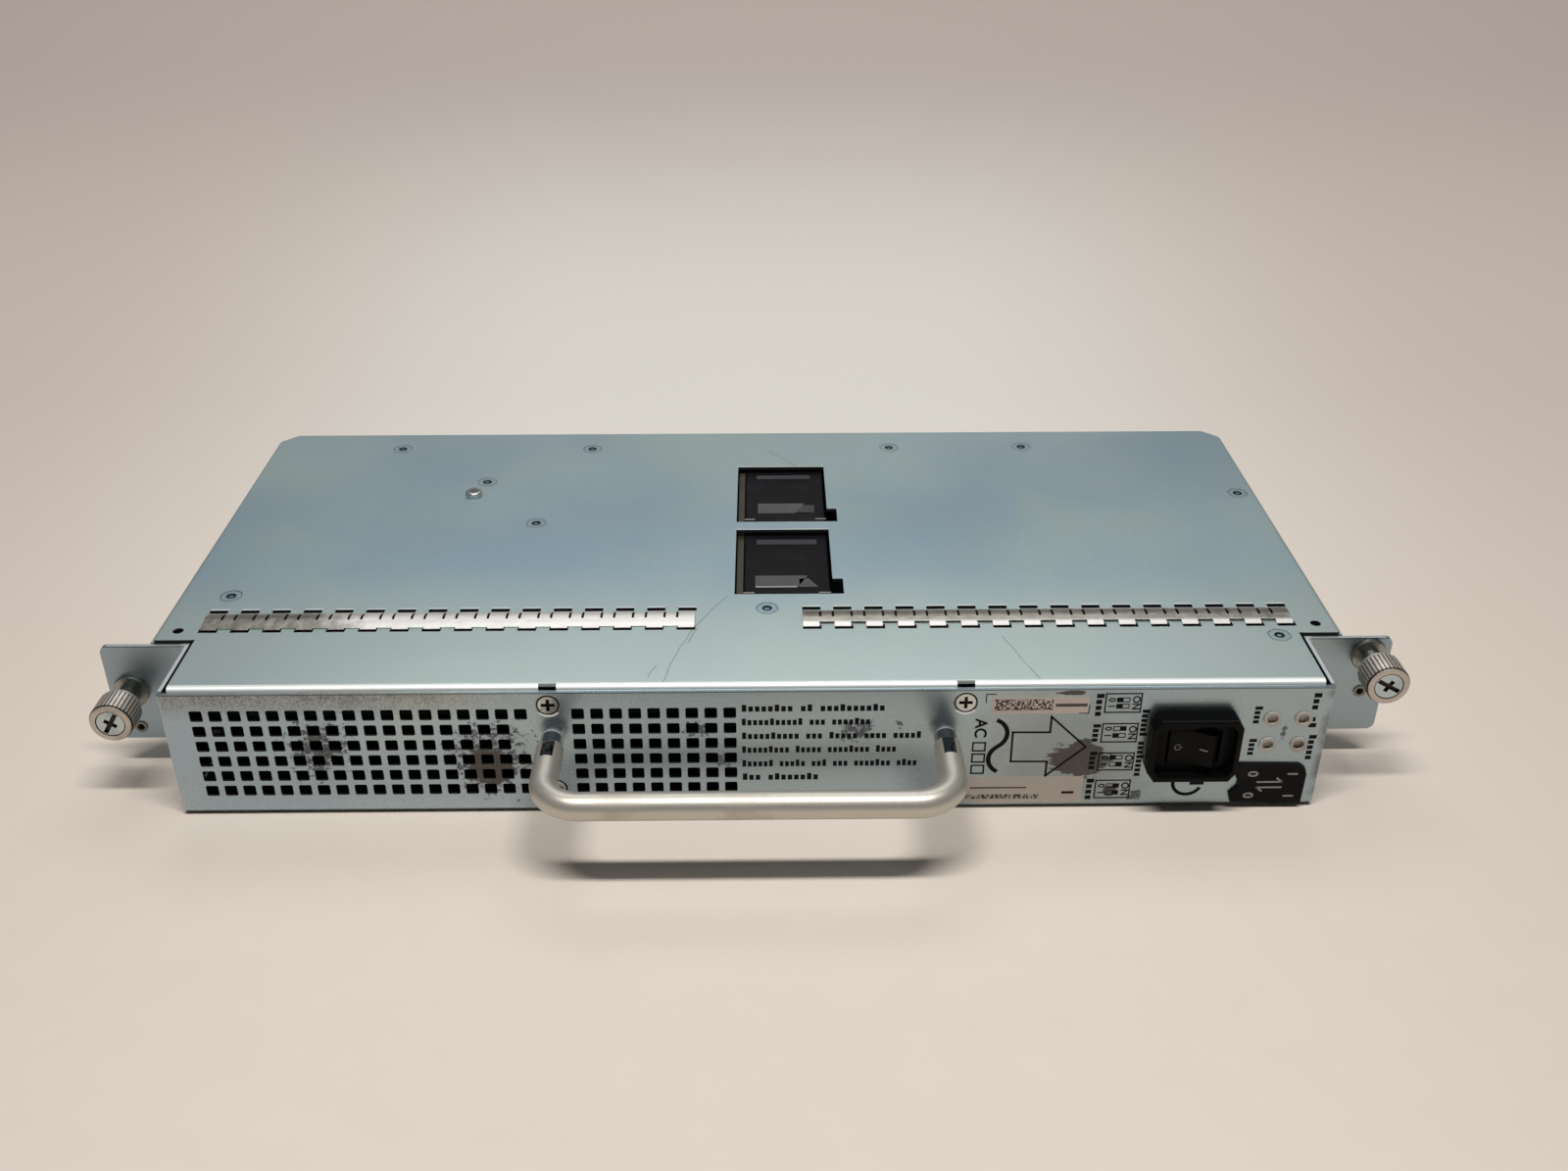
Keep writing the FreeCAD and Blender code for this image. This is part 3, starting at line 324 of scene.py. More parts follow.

# %% [markdown]
# ## The paper's finish
# The paper is warm and matt, and its fibres are a fine noise between two close colours. Slow steps over
# its position paint light and shade on it: a painted pool of light behind the module, and painted shade
# towards its sides and where it rises.

# %% Finish the paper
matt = Finish("pale_paper", roughness=0.85)
fibre = matt.noise(60, 4)
across, behind, above = matt.axes()
# painted shade: the paper darkens where it rises
raised = matt.step(above, 0.0, 0.11)
near = matt.mix(fibre, (229, 218, 207), (234, 223, 212))
# painted light behind the module, then painted shade towards the sides
clear = (1 - matt.step(abs(across), 0.1, 0.4)) * matt.step(behind, 0.0, 0.16)
near = matt.mix(clear, near, (232, 229, 222))
near = matt.mix(matt.step(abs(across), 0.08, 0.38), near, (216, 203, 194))
matt.feed(base_color=matt.mix(raised, near, (199, 187, 180)))
paper.data.materials.append(matt.material)
print("pale_paper:", len(matt.tree.nodes), "nodes")

# %% [markdown]
# ## Zinc-plated sheet
# Plated steel is a soft metal mirror: bluish, a little cloudy, with a faint grain from rolling the
# sheet. Stretched noise gives the grain, and a slow one the clouds. The inner side and the cut edges of
# the holes are painted black: an insulating film inside, and painted shade on the hole walls, so
# whatever is seen through a hole is dark. A mask on the position tells these from the plated outside.
# The panel is plated as well, so the recipe is a function.

# %% Plate the sheets
SKIM, FOLD, WALL, FLOOR = 0.12, 4.0, 179, 0.5
# black for the insulating film inside and for painted shade on the hole walls
FILM_AND_SHADE_BLACK = (9, 9, 10)
ZINC = (190, 213, 225), (205, 225, 229)
CASE_LOW, CASE_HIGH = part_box("bottom_cover")[0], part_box("upper_tray")[1]


def dress(finish, *names):
    """Gives measured solids a finish."""
    for name in names:
        for slot in frame["nodes"][name].material_slots:
            slot.material = finish.material
    print(finish.material.name, "->", ", ".join(names))


def zinc(name, deep, pale, roughness):
    """Satin zinc plating, ready for more colour: its finish, colour and roughness."""
    finish = Finish(name)
    cloud = finish.noise(9, 3, 0.55)
    patch = finish.step(finish.noise(17, 4, 0.6, warp=0.6), 0.46, 0.72)
    grain = finish.noise(1.0, 2, 0.6, finish.stretch(90, 1400, 1400))
    fleck = finish.noise(1500, 2, 0.6)
    dark = tuple(channel * 0.8 for channel in deep)
    color = finish.mix(finish.step(cloud, 0.32, 0.68), deep, pale)
    color = finish.mix(patch * 0.5, color, (pale[0] + 4, pale[1], pale[2] - 14))
    color = finish.mix(finish.step(fleck, 0.5, 0.8) * 0.3, color, dark)
    rough = roughness + 0.07 * cloud + 0.05 * (grain - 0.5) + 0.05 * (fleck - 0.5)
    finish.bump(grain * 0.7 + fleck * 0.3, 0.00006, 0.15)
    return finish, color, rough


stud, color, rough = zinc("zinc_stud", *ZINC, 0.33)
stud.feed(base_color=color, roughness=rough, metallic=1.0)
dress(stud, "clinch_standoffs")
sheet, color, rough = zinc("zinc_sheet", *ZINC, 0.35)
along, back, up = sheet.axes()
# painted shade: the case's inner faces and hole walls are painted black
film_and_hole_shade = (abs(along) < WALL * MM) * (back > FACE + FOLD * MM) * (back < CASE_HIGH.y - 2 * FOLD * MM)
film_and_hole_shade = film_and_hole_shade * (up < CASE_HIGH.z - SKIM * MM) * (up > CASE_LOW.z + FLOOR * MM)
# painted light: the top sheet is lightened towards its front edge
painted_front_light = 1 - sheet.step(back, FACE + 0.03, FACE + 0.075)
color = sheet.mix(painted_front_light * 0.7, color, (222, 233, 225))

# %% [markdown]
# ## Wear, painted shade and painted highlights on the top sheet
# Use has left hairlines on the sheet. The sheet under the spring fingers is painted dark as shade, and
# the lips of the slots, the rear edges of the windows and the front bend carry painted highlights. A
# hairline is the distance to a gently curved line, made unsteady by noise. The others are bands between
# two depths, laid over the plating one after the other.

# %% Wear the sheets and paint their shade and highlights
PITCH, OUTER = 9.67, 164.3
UNDER_FRONT, UNDER_REAR, LIP, BEND_DEPTH = 36.5, 42.6, 45.45, 3.4
WINDOW_REARS, WINDOW_MIDDLE, WINDOW_HALF = (96.9, 146.3), 10.9, 15.6
HAIRS = [(-24.5, 0.1, 0.005, 2, 52), (-18.6, 0.3, 0.005, 24, 33), (-29.0, 0.2, 0.02, 6, 12),
         (84.6, -0.325, 0.0, 2, 27), (17.3, -0.76, 0.0, 146, 160)]
depth, side = (back - FACE) / MM, abs(along) / MM
waver = sheet.noise(160, 3, 0.6) - 0.5


def scratch(x, slope, curve, first, last):
    """A hairline across the top sheet, between two depths, as x over depth in millimetres."""
    run = depth - first
    aside = abs(along / MM + waver * 1.6 - x - run * slope - run * run * curve)
    return (1 - sheet.step(aside, 0.05, 0.3)) * (depth > first) * (depth < last)


hair = sum(scratch(*hairline) for hairline in HAIRS)
# painted shade under the spring fingers, seen through their slits
painted_shade_under_fingers = (depth > UNDER_FRONT) * (depth < UNDER_REAR) * (abs(side - 91.8) < 74.8)
pace = (side - OUTER) / PITCH + 20.5
finger = abs(pace.sum("FRACT", pace) - 0.5) < 0.295
# painted highlight on the rear lips of the finger slots and the rear edges of the windows
painted_lip_highlight = (abs(depth - LIP) < 0.25) * finger * (side > 16) * (side < 168)
window = sum(abs(depth - rear) < 0.2 for rear in WINDOW_REARS)
painted_lip_highlight = painted_lip_highlight + window * (abs(along / MM - WINDOW_MIDDLE) < WINDOW_HALF)
# painted highlight along the front bend of the top sheet
painted_bend_highlight = (depth < BEND_DEPTH) * sheet.step(up, CASE_HIGH.z - 2.6 * MM, CASE_HIGH.z - 0.4 * MM)
color = sheet.mix(hair * 0.5, color, (92, 98, 100))
color = sheet.mix(painted_shade_under_fingers, color, (20, 20, 21))
color = sheet.mix(painted_lip_highlight, color, (240, 244, 244))
color = sheet.mix(painted_bend_highlight, color, (236, 240, 238))
sheet.feed(base_color=sheet.mix(film_and_hole_shade, color, FILM_AND_SHADE_BLACK), roughness=rough + 0.5 * film_and_hole_shade + 0.1 * painted_bend_highlight,
           metallic=1 - film_and_hole_shade - 0.8 * painted_lip_highlight - 0.45 * painted_bend_highlight)
dress(sheet, "upper_tray", "bottom_cover", "rear_panel")

# %% [markdown]
# ## The front panel and its stains
# The panel is the same plating after years of use, on a darker base that is painted shade for what it
# mirrors. Torn sticker glue has gone brown on it and dirt has stuck around two of the vents. Each stain
# starts from the distance to a spot. Noise added to that distance tears the rim of a glue stain, and
# noise compared with it scatters specks that get fewer towards the rim, so a handful of centres and
# sizes is enough.

# %% Plate the panel and place its stains
GLUE = [(97.4, 18.0, 19.5, 15.5), (93, 41.2, 10, 1.8), (107.6, 6.2, 4.4, 4.4), (-76.5, 16.2, 15.5, 14.5)]
DIRT = [(-126, 23.5, 17, 20), (-76, 20, 26, 24), (31.6, 28.7, 10, 8), (-14.5, 29.5, 7, 6),
        (156.3, 27.2, 2, 5), (115, 4, 5, 4), (-8, 18, 6, 4), (43.5, 31, 2, 4), (178, 10.5, 5, 3)]
# a darker base than the sheet's: painted shade for what the panel mirrors
panel, color, rough = zinc("zinc_panel", (166, 183, 194), (176, 191, 198), 0.24)
along, back, up = panel.axes()
torn = panel.noise(1.0, 5, 0.7, panel.stretch(260, 260, 700))
blotch = panel.noise(130, 4, 0.6)
speck = panel.noise(620, 4, 0.65)


def away(x, z, wide, tall):
    """How far a point is from a spot: 0 in its middle and 1 on its ellipse."""
    across = (along - x * MM) * (2 / (wide * MM))
    upward = (up - z * MM) * (2 / (tall * MM))
    return (across * across + upward * upward) ** 0.5


def most(masks):
    """The strongest of several masks."""
    first, *others = masks
    for other in others:
        first = first.sum("MAXIMUM", first, other)
    return first


ragged = (torn - 0.5) * 1.5 + (blotch - 0.5) * 0.9
glue = most([1 - panel.step(away(*spot) + ragged, 0.84, 0.92) for spot in GLUE])
dirt = most([panel.step(speck - 0.2 * away(*spot), 0.34, 0.4) for spot in DIRT])
haze = most([1 - panel.step(away(*spot) + (blotch - 0.5) * 2, 0.3, 1.3) for spot in DIRT[:3]])
smoke = 1 - panel.step(away(94, 19, 56, 50) + (blotch - 0.5) * 1.2, 0.4, 1.3)
print("stains:", len(GLUE), "of glue,", len(DIRT), "of dirt")

# %% [markdown]
# ## Dust, rims, painted shade and painted glints on the panel
# Dust lies along the upper left and grime on the right rim. A dark line under the top edge is painted
# shade of the gap at the panel's top, and the ears and the middle and right of the panel are darkened as
# painted shade. The upper edges of the ears and the lower rim of each countersink carry painted
# highlights. Each is a band between two positions. The colours go on in turn, from the faint haze to
# the black film and painted hole shade inside.

# %% Dust the panel, wear its rims and paint its shade and glints
PANEL_TOP, PANEL_HALF, EAR = 42.6, 168.15, 170.5
SCREWS = [(-57.8, 38.1), (62.7, 38.0), (-57.5, 8.2)]
# painted shade: the back of the panel and its vent walls are painted black
film_and_hole_shade = (abs(along) < PANEL_HALF * MM) * (back > FACE + 0.16 * MM) * (up < (PANEL_TOP - 0.05) * MM)
# painted shade: the ears are tinted darker for the shaded floor they mirror
painted_ear_shade = abs(along) > EAR * MM
dust = panel.step(up, 0.0325, 0.0425) * panel.step(along, -0.04, -0.12) * (along > -0.1685)
rim = panel.step(along, 0.166, 0.169) * (back < FACE + 1.7 * MM)
scour = panel.noise(1.0, 4, 0.75, panel.stretch(2600, 1800, 1200))
grime = most([dust * panel.step(scour + 0.3 * blotch, 0.56, 0.78), rim * panel.step(blotch, 0.35, 0.6)])
# painted highlight on the top edges of the ears and side returns
painted_top_edge_highlight = (up > (PANEL_TOP - 0.05) * MM) * (abs(along) > 168.3 * MM) * (back > FACE + 2 * MM)
# painted shade of the gap along the panel's top
painted_gap_shade = abs(up - (PANEL_TOP - 0.3) * MM) < 0.16 * MM
# painted highlight on the lower rim of each countersink
painted_screw_glint = most([(abs(away(x, z, 2, 2) - 3.75) < 0.32) * (up < (z - 2.4) * MM) for x, z in SCREWS])
COATS = [
    (haze * 0.2, (140, 130, 112)),
    (smoke * 0.5, (134, 134, 124)),
    (dust * 0.5, (158, 150, 138)),
    (grime * 0.65, (84, 78, 70)),
    (dirt * panel.step(scour, 0.3, 0.5) * 0.85, (46, 43, 40)),
    # painted shade: the middle and right of the panel are darkened for the handle's shadow and reflection
    (0.22 * panel.step(along, -0.1, -0.02) * (along < 0.1695), (108, 128, 142)),
    (0.2 * painted_ear_shade, (112, 127, 140)),
    (painted_gap_shade * 0.8, (74, 78, 80)),
    (most([painted_top_edge_highlight * 0.8, painted_screw_glint]), (240, 243, 245)),
    (glue * 0.95, panel.mix(speck, (66, 60, 55), (92, 85, 78))),
    (film_and_hole_shade, FILM_AND_SHADE_BLACK)]
for mask, coat in COATS:
    color = panel.mix(mask, color, coat)
dull = most([glue, dirt * 0.6, grime * 0.5, haze * 0.2, film_and_hole_shade, painted_top_edge_highlight * 0.35, painted_screw_glint * 0.8, 0.4 * painted_ear_shade])
bare = 1 - 0.9 * most([dull - 0.4 * painted_ear_shade, film_and_hole_shade])
panel.feed(base_color=color, roughness=rough + 0.35 * dull, metallic=bare)
dress(panel, "front_panel")

# %% [markdown]
# ## Handle, collars and screws
# The handle is a bent bar with a satin nickel skin, its collars are turned and polished, and the
# screws are plated brighter than the sheet. They share one recipe with different numbers: a base
# colour, a second colour where fingers and tools have been, and a grain whose direction says how the
# piece was made.

# %% Finish the hardware
def metal(name, color, worn, roughness, grain=(1200, 1200, 1200), patchy=120.0, depth=0.00003):
    """Bare or plated metal with worn patches and a grain."""
    finish = Finish(name, metallic=1.0)
    wear = finish.step(finish.noise(patchy, 4, 0.6), 0.48, 0.66)
    lines = finish.noise(1.0, 2, 0.6, finish.stretch(*grain))
    finish.feed(base_color=finish.mix(wear, color, worn),
                roughness=roughness + 0.1 * wear + 0.1 * (lines - 0.5))
    finish.bump(lines, depth, 0.3)
    return finish


bar_skin = metal("satin_nickel", (204, 199, 188), (194, 188, 177), 0.41, (1100, 1100, 1100), 60, 0.00006)
_, back, up = bar_skin.axes()
post_end, bar_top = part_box("handle")[1].y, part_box("handle")[1].z
flat = (abs(up - (bar_top - 0.38 * MM)) < 0.04 * MM) * (back > post_end - 7.7 * MM)
bar_color = bar_skin.mix(flat, bar_skin.fed("Base Color"), (120, 124, 128))
bar_rough = bar_skin.fed("Roughness") * (1 - 0.75 * flat)
bar_skin.feed(base_color=bar_color, roughness=bar_rough, metallic=0.75 + 0.25 * flat)
dress(bar_skin, "handle")
collar = metal("polished_steel", (176, 178, 180), (150, 149, 148), 0.2)
# painted highlight: the shoulder ring at the panel end is less metallic, so it shows bright
painted_shoulder_highlight = collar.axes()[1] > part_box("handle_collars")[1].y - 0.8 * MM
collar.feed(metallic=1 - 0.7 * painted_shoulder_highlight)
dress(collar, "handle_collars")
dress(metal("bright_screw", (208, 209, 206), (176, 174, 166), 0.27),
      "heatsink_screw", "side_screws", "board_screws", "handle_screws")
panel_screw = metal("panel_screw", (204, 208, 202), (150, 152, 144), 0.3)
along, back, up = panel_screw.axes()
# painted shade in the drive recess and in the countersink ring around each head
painted_recess_shade = back > FACE + 0.2 * MM
for x, z in SCREWS:
    radius = ((along / MM - x) ** 2 + (up / MM - z) ** 2) ** 0.5
    painted_recess_shade = painted_recess_shade + panel_screw.step(radius, 2.75, 3.05) * (radius < 4)
panel_screw.feed(base_color=panel_screw.mix(painted_recess_shade, panel_screw.fed("Base Color"), (38, 35, 32)))
dress(panel_screw, "panel_screws")
dress(metal("ferrule_steel", (158, 160, 154), (120, 120, 112), 0.22), "ferrule_left", "ferrule_right",
      "spring_cup_left", "spring_cup_right")
dress(metal("bush_nickel", (124, 126, 122), (92, 88, 76), 0.3), "ear_bushes")

# %% [markdown]
# ## Black plastics and lenses
# Moulded black plastic is never flat black: the tool leaves a fine spark-eroded grain, and edges and
# finger spots turn glossy. Base colour, roughness and a tiny bump all follow the same two noises. The
# lamp lenses are the pale cousin of that recipe.

# %% Mould the plastics
def plastic(name, color, rubbed, roughness, grain=1800.0, **more):
    """Moulded plastic with a spark-eroded grain and rubbed patches."""
    finish = Finish(name, **more)
    pits = finish.noise(grain, 2, 0.6)
    rub = finish.step(finish.noise(70, 4, 0.6), 0.5, 0.72)
    finish.feed(base_color=finish.mix(rub, color, rubbed),
                roughness=roughness + 0.12 * (pits - 0.5) - 0.1 * rub)
    finish.bump(pits, 0.00005, 0.45)
    return finish


DULL = {"specular_ior_level": 0.1}
dress(plastic("guard_black", (5, 5, 6), (11, 10, 12), 0.5, **DULL), "switch_guard")
dress(plastic("plate_black", (17, 16, 18), (30, 28, 28), 0.58, **DULL), "dip_cover")
dress(plastic("switch_black", (8, 8, 9), (14, 13, 15), 0.45, **DULL), "switch_body", "rocker")
dress(plastic("relay_black", (20, 19, 22), (28, 27, 31), 0.5, **DULL),
      "input_relay_front", "input_relay_rear")
dress(plastic("transistor_black", (30, 30, 31), (44, 43, 42), 0.5), "power_transistors")
dress(plastic("connector_black", (28, 28, 29), (40, 40, 40), 0.5), "input_connector", "output_connector")
dress(plastic("fan_black", (24, 24, 25), (36, 36, 36), 0.52),
      "fan_frame_a", "fan_frame_b", "fan_rotor_a", "fan_rotor_b")
dress(plastic("lens_clear", (214, 209, 200), (190, 182, 172), 0.22, 900, transmission_weight=0.25),
      "light_pipes")
dress(plastic("lamp_green", (96, 150, 72), (120, 170, 92), 0.25, 900), "leds")
dress(plastic("setting_blue", (60, 66, 120), (74, 80, 130), 0.45), "dip_switch")
dress(plastic("setting_white", (226, 225, 218), (205, 203, 195), 0.4), "dip_slider_low", "dip_slider_high")

# %% [markdown]
# ## What the cover hides
# Through the windows and the vents one sees a little of the boards and coils inside. They still get
# honest finishes, because the part may be opened in another scene: solder mask with faint tracks,
# sleeved capacitors, wound copper, ferrite and black anodised heatsinks.

# %% Finish the inside
solder_mask = Finish("board_green", roughness=0.35)
tracks = solder_mask.node("TexBrick", {
    "Vector": solder_mask.place, "Scale": 220, "Mortar Size": 0.035, "Color1": (0, 0, 0, 1),
    "Color2": (0, 0, 0, 1), "Mortar": (1, 1, 1, 1)}, offset=0.35)
base = solder_mask.mix(solder_mask.noise(50, 3), (7, 20, 14), (9, 25, 17))
solder_mask.feed(base_color=solder_mask.mix(tracks * 0.5, base, (18, 40, 26)))
dress(solder_mask, "main_board", "front_board", "control_board")
wound = Finish("copper_winding", metallic=0.8, roughness=0.3)
turns = wound.node("TexWave", {
    "Vector": wound.place, "Scale": 150, "Distortion": 1.5, "Detail": 2, "Detail Scale": 2})
wound.feed(base_color=wound.mix(turns, (96, 52, 28), (196, 118, 66)))
wound.bump(turns, 0.0002, 0.6)
dress(wound, "pfc_choke", "emi_chokes", "output_inductor", "transformer_winding")
dress(plastic("capacitor_sleeve", (30, 34, 58), (44, 48, 74), 0.28, 600),
      "bulk_capacitors", "output_capacitors")
dress(plastic("film_yellow", (214, 180, 60), (196, 160, 48), 0.4, 900), "film_capacitors")
dress(plastic("ferrite", (58, 57, 57), (74, 73, 72), 0.6, 1400), "transformer_core")
dress(plastic("fish_paper", (56, 53, 40), (46, 43, 32), 0.55, 700), "fibre_barrier")
dress(plastic("amber_sheet", (52, 42, 26), (40, 33, 22), 0.5, 700), "insulation_sheet")
dress(metal("heatsink_black", (34, 34, 36), (48, 48, 50), 0.4, (1500, 60, 1500)),
      "primary_heatsink", "rectifier_heatsink")
dress(metal("copper_bar", (206, 140, 104), (168, 104, 76), 0.3), "output_busbars")
dress(metal("plated_contact", (214, 196, 150), (196, 174, 120), 0.25), "input_contacts", "output_blades")

# %% [markdown]
# ## Pieces from bmesh
# The remaining pieces are new meshes. Each rides on a body of the module, so it follows that body
# when a joint moves. One helper does this bookkeeping, and smooths round surfaces while it keeps
# corners sharp.

# %% One helper for new pieces
CREASE = 32


def piece(name, bm, *finishes, body="chassis", slot="zinc_sheet", replaces=()):
    """Turns a bmesh in metres into a piece that rides on a body."""
    mesh = bpy.data.meshes.new(name)
    bm.to_mesh(mesh)
    bm.free()
    for finish in finishes:
        mesh.materials.append(finish.material)
    mesh.shade_smooth()
    mesh.set_sharp_from_angle(angle=math.radians(CREASE))
    made = show(name, mesh)
    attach(made, body)
    if replaces:
        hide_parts(*replaces)
    low, high = [Vector(corner) / MM for corner in (made.bound_box[0], made.bound_box[6])]
    print("%s: %d faces, %.1f x %.1f x %.1f mm" % (name, len(mesh.polygons), *(high - low)))
    return made


print("bodies to ride on:", ", ".join(frame["bodies"]))

# %% [markdown]
# ## Spring-finger strips
# Each strip is one bent band of springy metal with slits cut from its rear edge, so that every finger
# gives on its own. The arch is drawn once as a row of edges and extruded along the module through
# each slit, and then the slit cells and the ends between fingers are deleted. The real strip is
# stamped flat and formed after that, but cutting the finished arch is easier here.

# %% Form the strips
ARCH = [(42.95, 42.8), (42.93, 43.5), (42.75, 43.9), (42.2, 44.2), (41.2, 44.5), (40.1, 44.8),
        (39.0, 44.9), (37.6, 44.78), (36.2, 44.6), (35.3, 44.45), (34.6, 44.25), (33.9, 44.08),
        (33.2, 43.94)]
FINGERS, HALF, SLIT = 16, 2.5, 0.75
SLIT_FRONT, BAND_REAR, STRIP_SHEET = 37.5, 42.2, 0.15


def line(bm, points):
    """Draws a line through points and returns its dots and its edges."""
    dots = [bm.verts.new(point) for point in points]
    return dots, [bm.edges.new(pair) for pair in zip(dots, dots[1:])]


def strip(name, first, band, finish):
    """Sixteen fingers from the first one on; between them the band reaches forward to a depth."""
    bm = bmesh.new()
    _, row = line(bm, [at(first - HALF, y, z) for y, z in ARCH])
    widths = [2 * HALF, SLIT, PITCH - 2 * HALF - 2 * SLIT, SLIT] * FINGERS
    for width in widths[:-3]:
        row = pull(bm, row, (width * MM, 0, 0))
    gone = []
    for face in bm.faces:
        spot = face.calc_center_median()
        depth = (spot.y - FACE) / MM
        off = (spot.x / MM - first + PITCH / 2) % PITCH - PITCH / 2
        slit = HALF < abs(off) < HALF + SLIT
        between = abs(off) > HALF
        if (slit and depth > SLIT_FRONT) or (between and not band < depth < BAND_REAR):
            gone.append(face)
    bmesh.ops.delete(bm, geom=gone, context="FACES")
    outward(bm)
    if sum(face.normal.z for face in bm.faces) < 0:
        bmesh.ops.reverse_faces(bm, faces=bm.faces[:])
    bmesh.ops.solidify(bm, geom=bm.faces[:], thickness=STRIP_SHEET * MM)
    piece(name, bm, finish, slot="bright_finger", replaces=[name.replace("finger_strip", "gasket")])


def bright_strip(name, dull_from, dull_to, gold, feet):
    """Tin-plated fingers, darker over a stretch, golden along the rear, with bright feet; on the left it is
    tarnish.
    """
    finish = Finish(name, metallic=1.0)
    along, back, _ = finish.axes()
    dent = finish.noise(260, 2, 0.5)
    smear = finish.noise(90, 4, 0.6)
    tarnish_and_darkening = finish.step(along + (smear - 0.5) * 0.05, dull_to * MM, dull_from * MM)
    color = finish.mix(smear, (246, 243, 238), (226, 222, 218))
    rear = finish.step(back, FACE + 0.0404, FACE + 0.041) * finish.step(smear, 0.35, 0.6) * gold
    color = finish.mix(rear, color, (176, 152, 100))
    tarnish_and_darkening = tarnish_and_darkening * (1 - feet * (1 - finish.step(back, FACE + 0.0346, FACE + 0.036)))
    color = finish.mix(tarnish_and_darkening * 0.85, color, finish.mix(dent, (96, 88, 78), (170, 162, 148)))
    finish.feed(base_color=color, roughness=0.48 + 0.1 * smear - 0.18 * tarnish_and_darkening)
    finish.bump(dent, 0.0005, 0.4)
    return finish


strip("finger_strip_left", -OUTER, 34.2, bright_strip("bright_finger_left", -135, -118, 0.25, 0))
# the right strip's band is darker all along, with its feet kept bright
strip("finger_strip_right", 18.95, 35.0, bright_strip("bright_finger_right", 300, 310, 0.8, 1))

# %% [markdown]
# ## Thumbscrews
# A thumbscrew is a turned part, so its outline is drawn once and spun around its axis. The straight
# knurl comes from moving every seventh column inwards, which gives flat-topped teeth with sharp grooves
# as a knurling wheel leaves them. The face is filled between its rim and the outline of the driver recess,
# and the recess is then pushed in. The screw in the middle is zinc, bluer than the nickel knob.

# %% Turn the thumbscrews
KNOBS = {"left": (-188.4, 27.0), "right": (188.4, 37.0)}
TEETH, COLUMNS, GROOVE = 34, 7, 0.945
DISH, RECESS = 8.42, 0.9
TURNED = [(4.05, DISH), (4.05, 8.95), (4.35, 8.95), (4.35, 8.3), (5.8, 8.3), (6.1, 8.5), (6.35, 9.0),
          (6.35, 16.6), (6.1, 17.0), (5.6, 17.1), (5.6, 18.2), (3.4, 18.2), (3.4, 10.3), (1.5, 10.3),
          (1.5, 28.9), (1.95, 29.3), (1.95, 32.6), (1.4, 33.2), (0, 33.2)]
knob_nickel = metal("knob_nickel", (204, 195, 185), (188, 179, 168), 0.42)
knob_nickel.feed(metallic=0.72)
# painted shade: a dark finish for the knurl grooves, the driver recess and the side screws' crosses
painted_groove_shade = metal("painted_groove_shade", (66, 60, 53), (44, 39, 34), 0.5)
knob_screw = metal("knob_screw", (192, 204, 206), (172, 184, 186), 0.3)


def turned(bm, outline, steps, middle=(0, 0, 0)):
    """Draws an outline and spins it once around an axis that runs from front to back."""
    dots, edges = line(bm, outline)
    bmesh.ops.spin(bm, geom=dots + edges, cent=middle, axis=(0, 1, 0), angle=math.tau, steps=steps,
                   use_merge=True)


def recess(bm, long, short, half, lean):
    """Draws the outline of a slotted cross on the face and returns its edges."""
    corner = [(half, half), (half, long), (-half, long), (-half, half), (-short, half), (-short, -half)]
    corner += [(-x, -z) for x, z in corner]
    turn = Matrix.Rotation(lean, 4, "Y")
    dots, edges = line(bm, [turn @ Vector((x, DISH, z)) for x, z in corner])
    return [*edges, bm.edges.new((dots[-1], dots[0]))]


def put(x, y, z, angle=0.0, axis="Y"):
    """The move to a point on the module, with a turn about one axis there."""
    return Matrix.Translation(at(x, y, z)) @ Matrix.Rotation(angle, 4, axis)


def set_down(bm, x, z):
    """Takes a piece drawn in millimetres around its own axis to its place on the module."""
    bmesh.ops.transform(bm, matrix=put(x, 0, z) @ Matrix.Scale(MM, 4), verts=bm.verts)


def thumbscrew(side, lean):
    """One knob with its screw; the driver recess is turned by so many degrees."""
    bm = bmesh.new()
    turned(bm, [(r, y, 0) for r, y in TURNED], TEETH * COLUMNS)
    bmesh.ops.remove_doubles(bm, verts=bm.verts[:], dist=1e-4)
    for vert in bm.verts:
        column = round(math.atan2(vert.co.z, vert.co.x) / math.tau * TEETH * COLUMNS) % COLUMNS
        if math.hypot(vert.co.x, vert.co.z) > 6.3 and column == 0:
            bmesh.ops.scale(bm, vec=(GROOVE, 1, GROOVE), verts=[vert])
    rim = [e for e in bm.edges if all(abs(v.co.y - DISH) < 1e-4 for v in e.verts)]
    slot = recess(bm, 3.8, 2.0, 0.68, math.radians(lean))
    bmesh.ops.triangle_fill(bm, use_beauty=True, edges=rim + slot)
    bmesh.ops.contextual_create(bm, geom=pull(bm, slot, (0, RECESS, 0)))
    outward(bm)
    for face in bm.faces:
        spot = face.calc_center_median()
        radius = math.hypot(spot.x, spot.z)
        # painted shade goes on the knurl grooves and the driver recess
        groove = 8.7 < spot.y < 16.9 and 5.5 < radius < 6.28
        gap = 8.5 < spot.y < 9.5 and radius < 4.4
        face.material_index = 1 if groove or gap else 2 if radius < 4.1 else 0
    set_down(bm, *KNOBS[side])
    piece("thumbscrew_" + side, bm, knob_nickel, painted_groove_shade, knob_screw,
          body="screw_" + side, slot="knob_nickel", replaces=["captive_screw_" + side])


thumbscrew("left", 32)
thumbscrew("right", 120)

# %% [markdown]
# ## Springs
# A coil spring inside each knob pushes it away from its ear. The wire is a small circle, spun around
# the screw with a short step along it each time, and that makes the coil. When the knob is pressed the
# real spring gets shorter; this coil keeps its length.

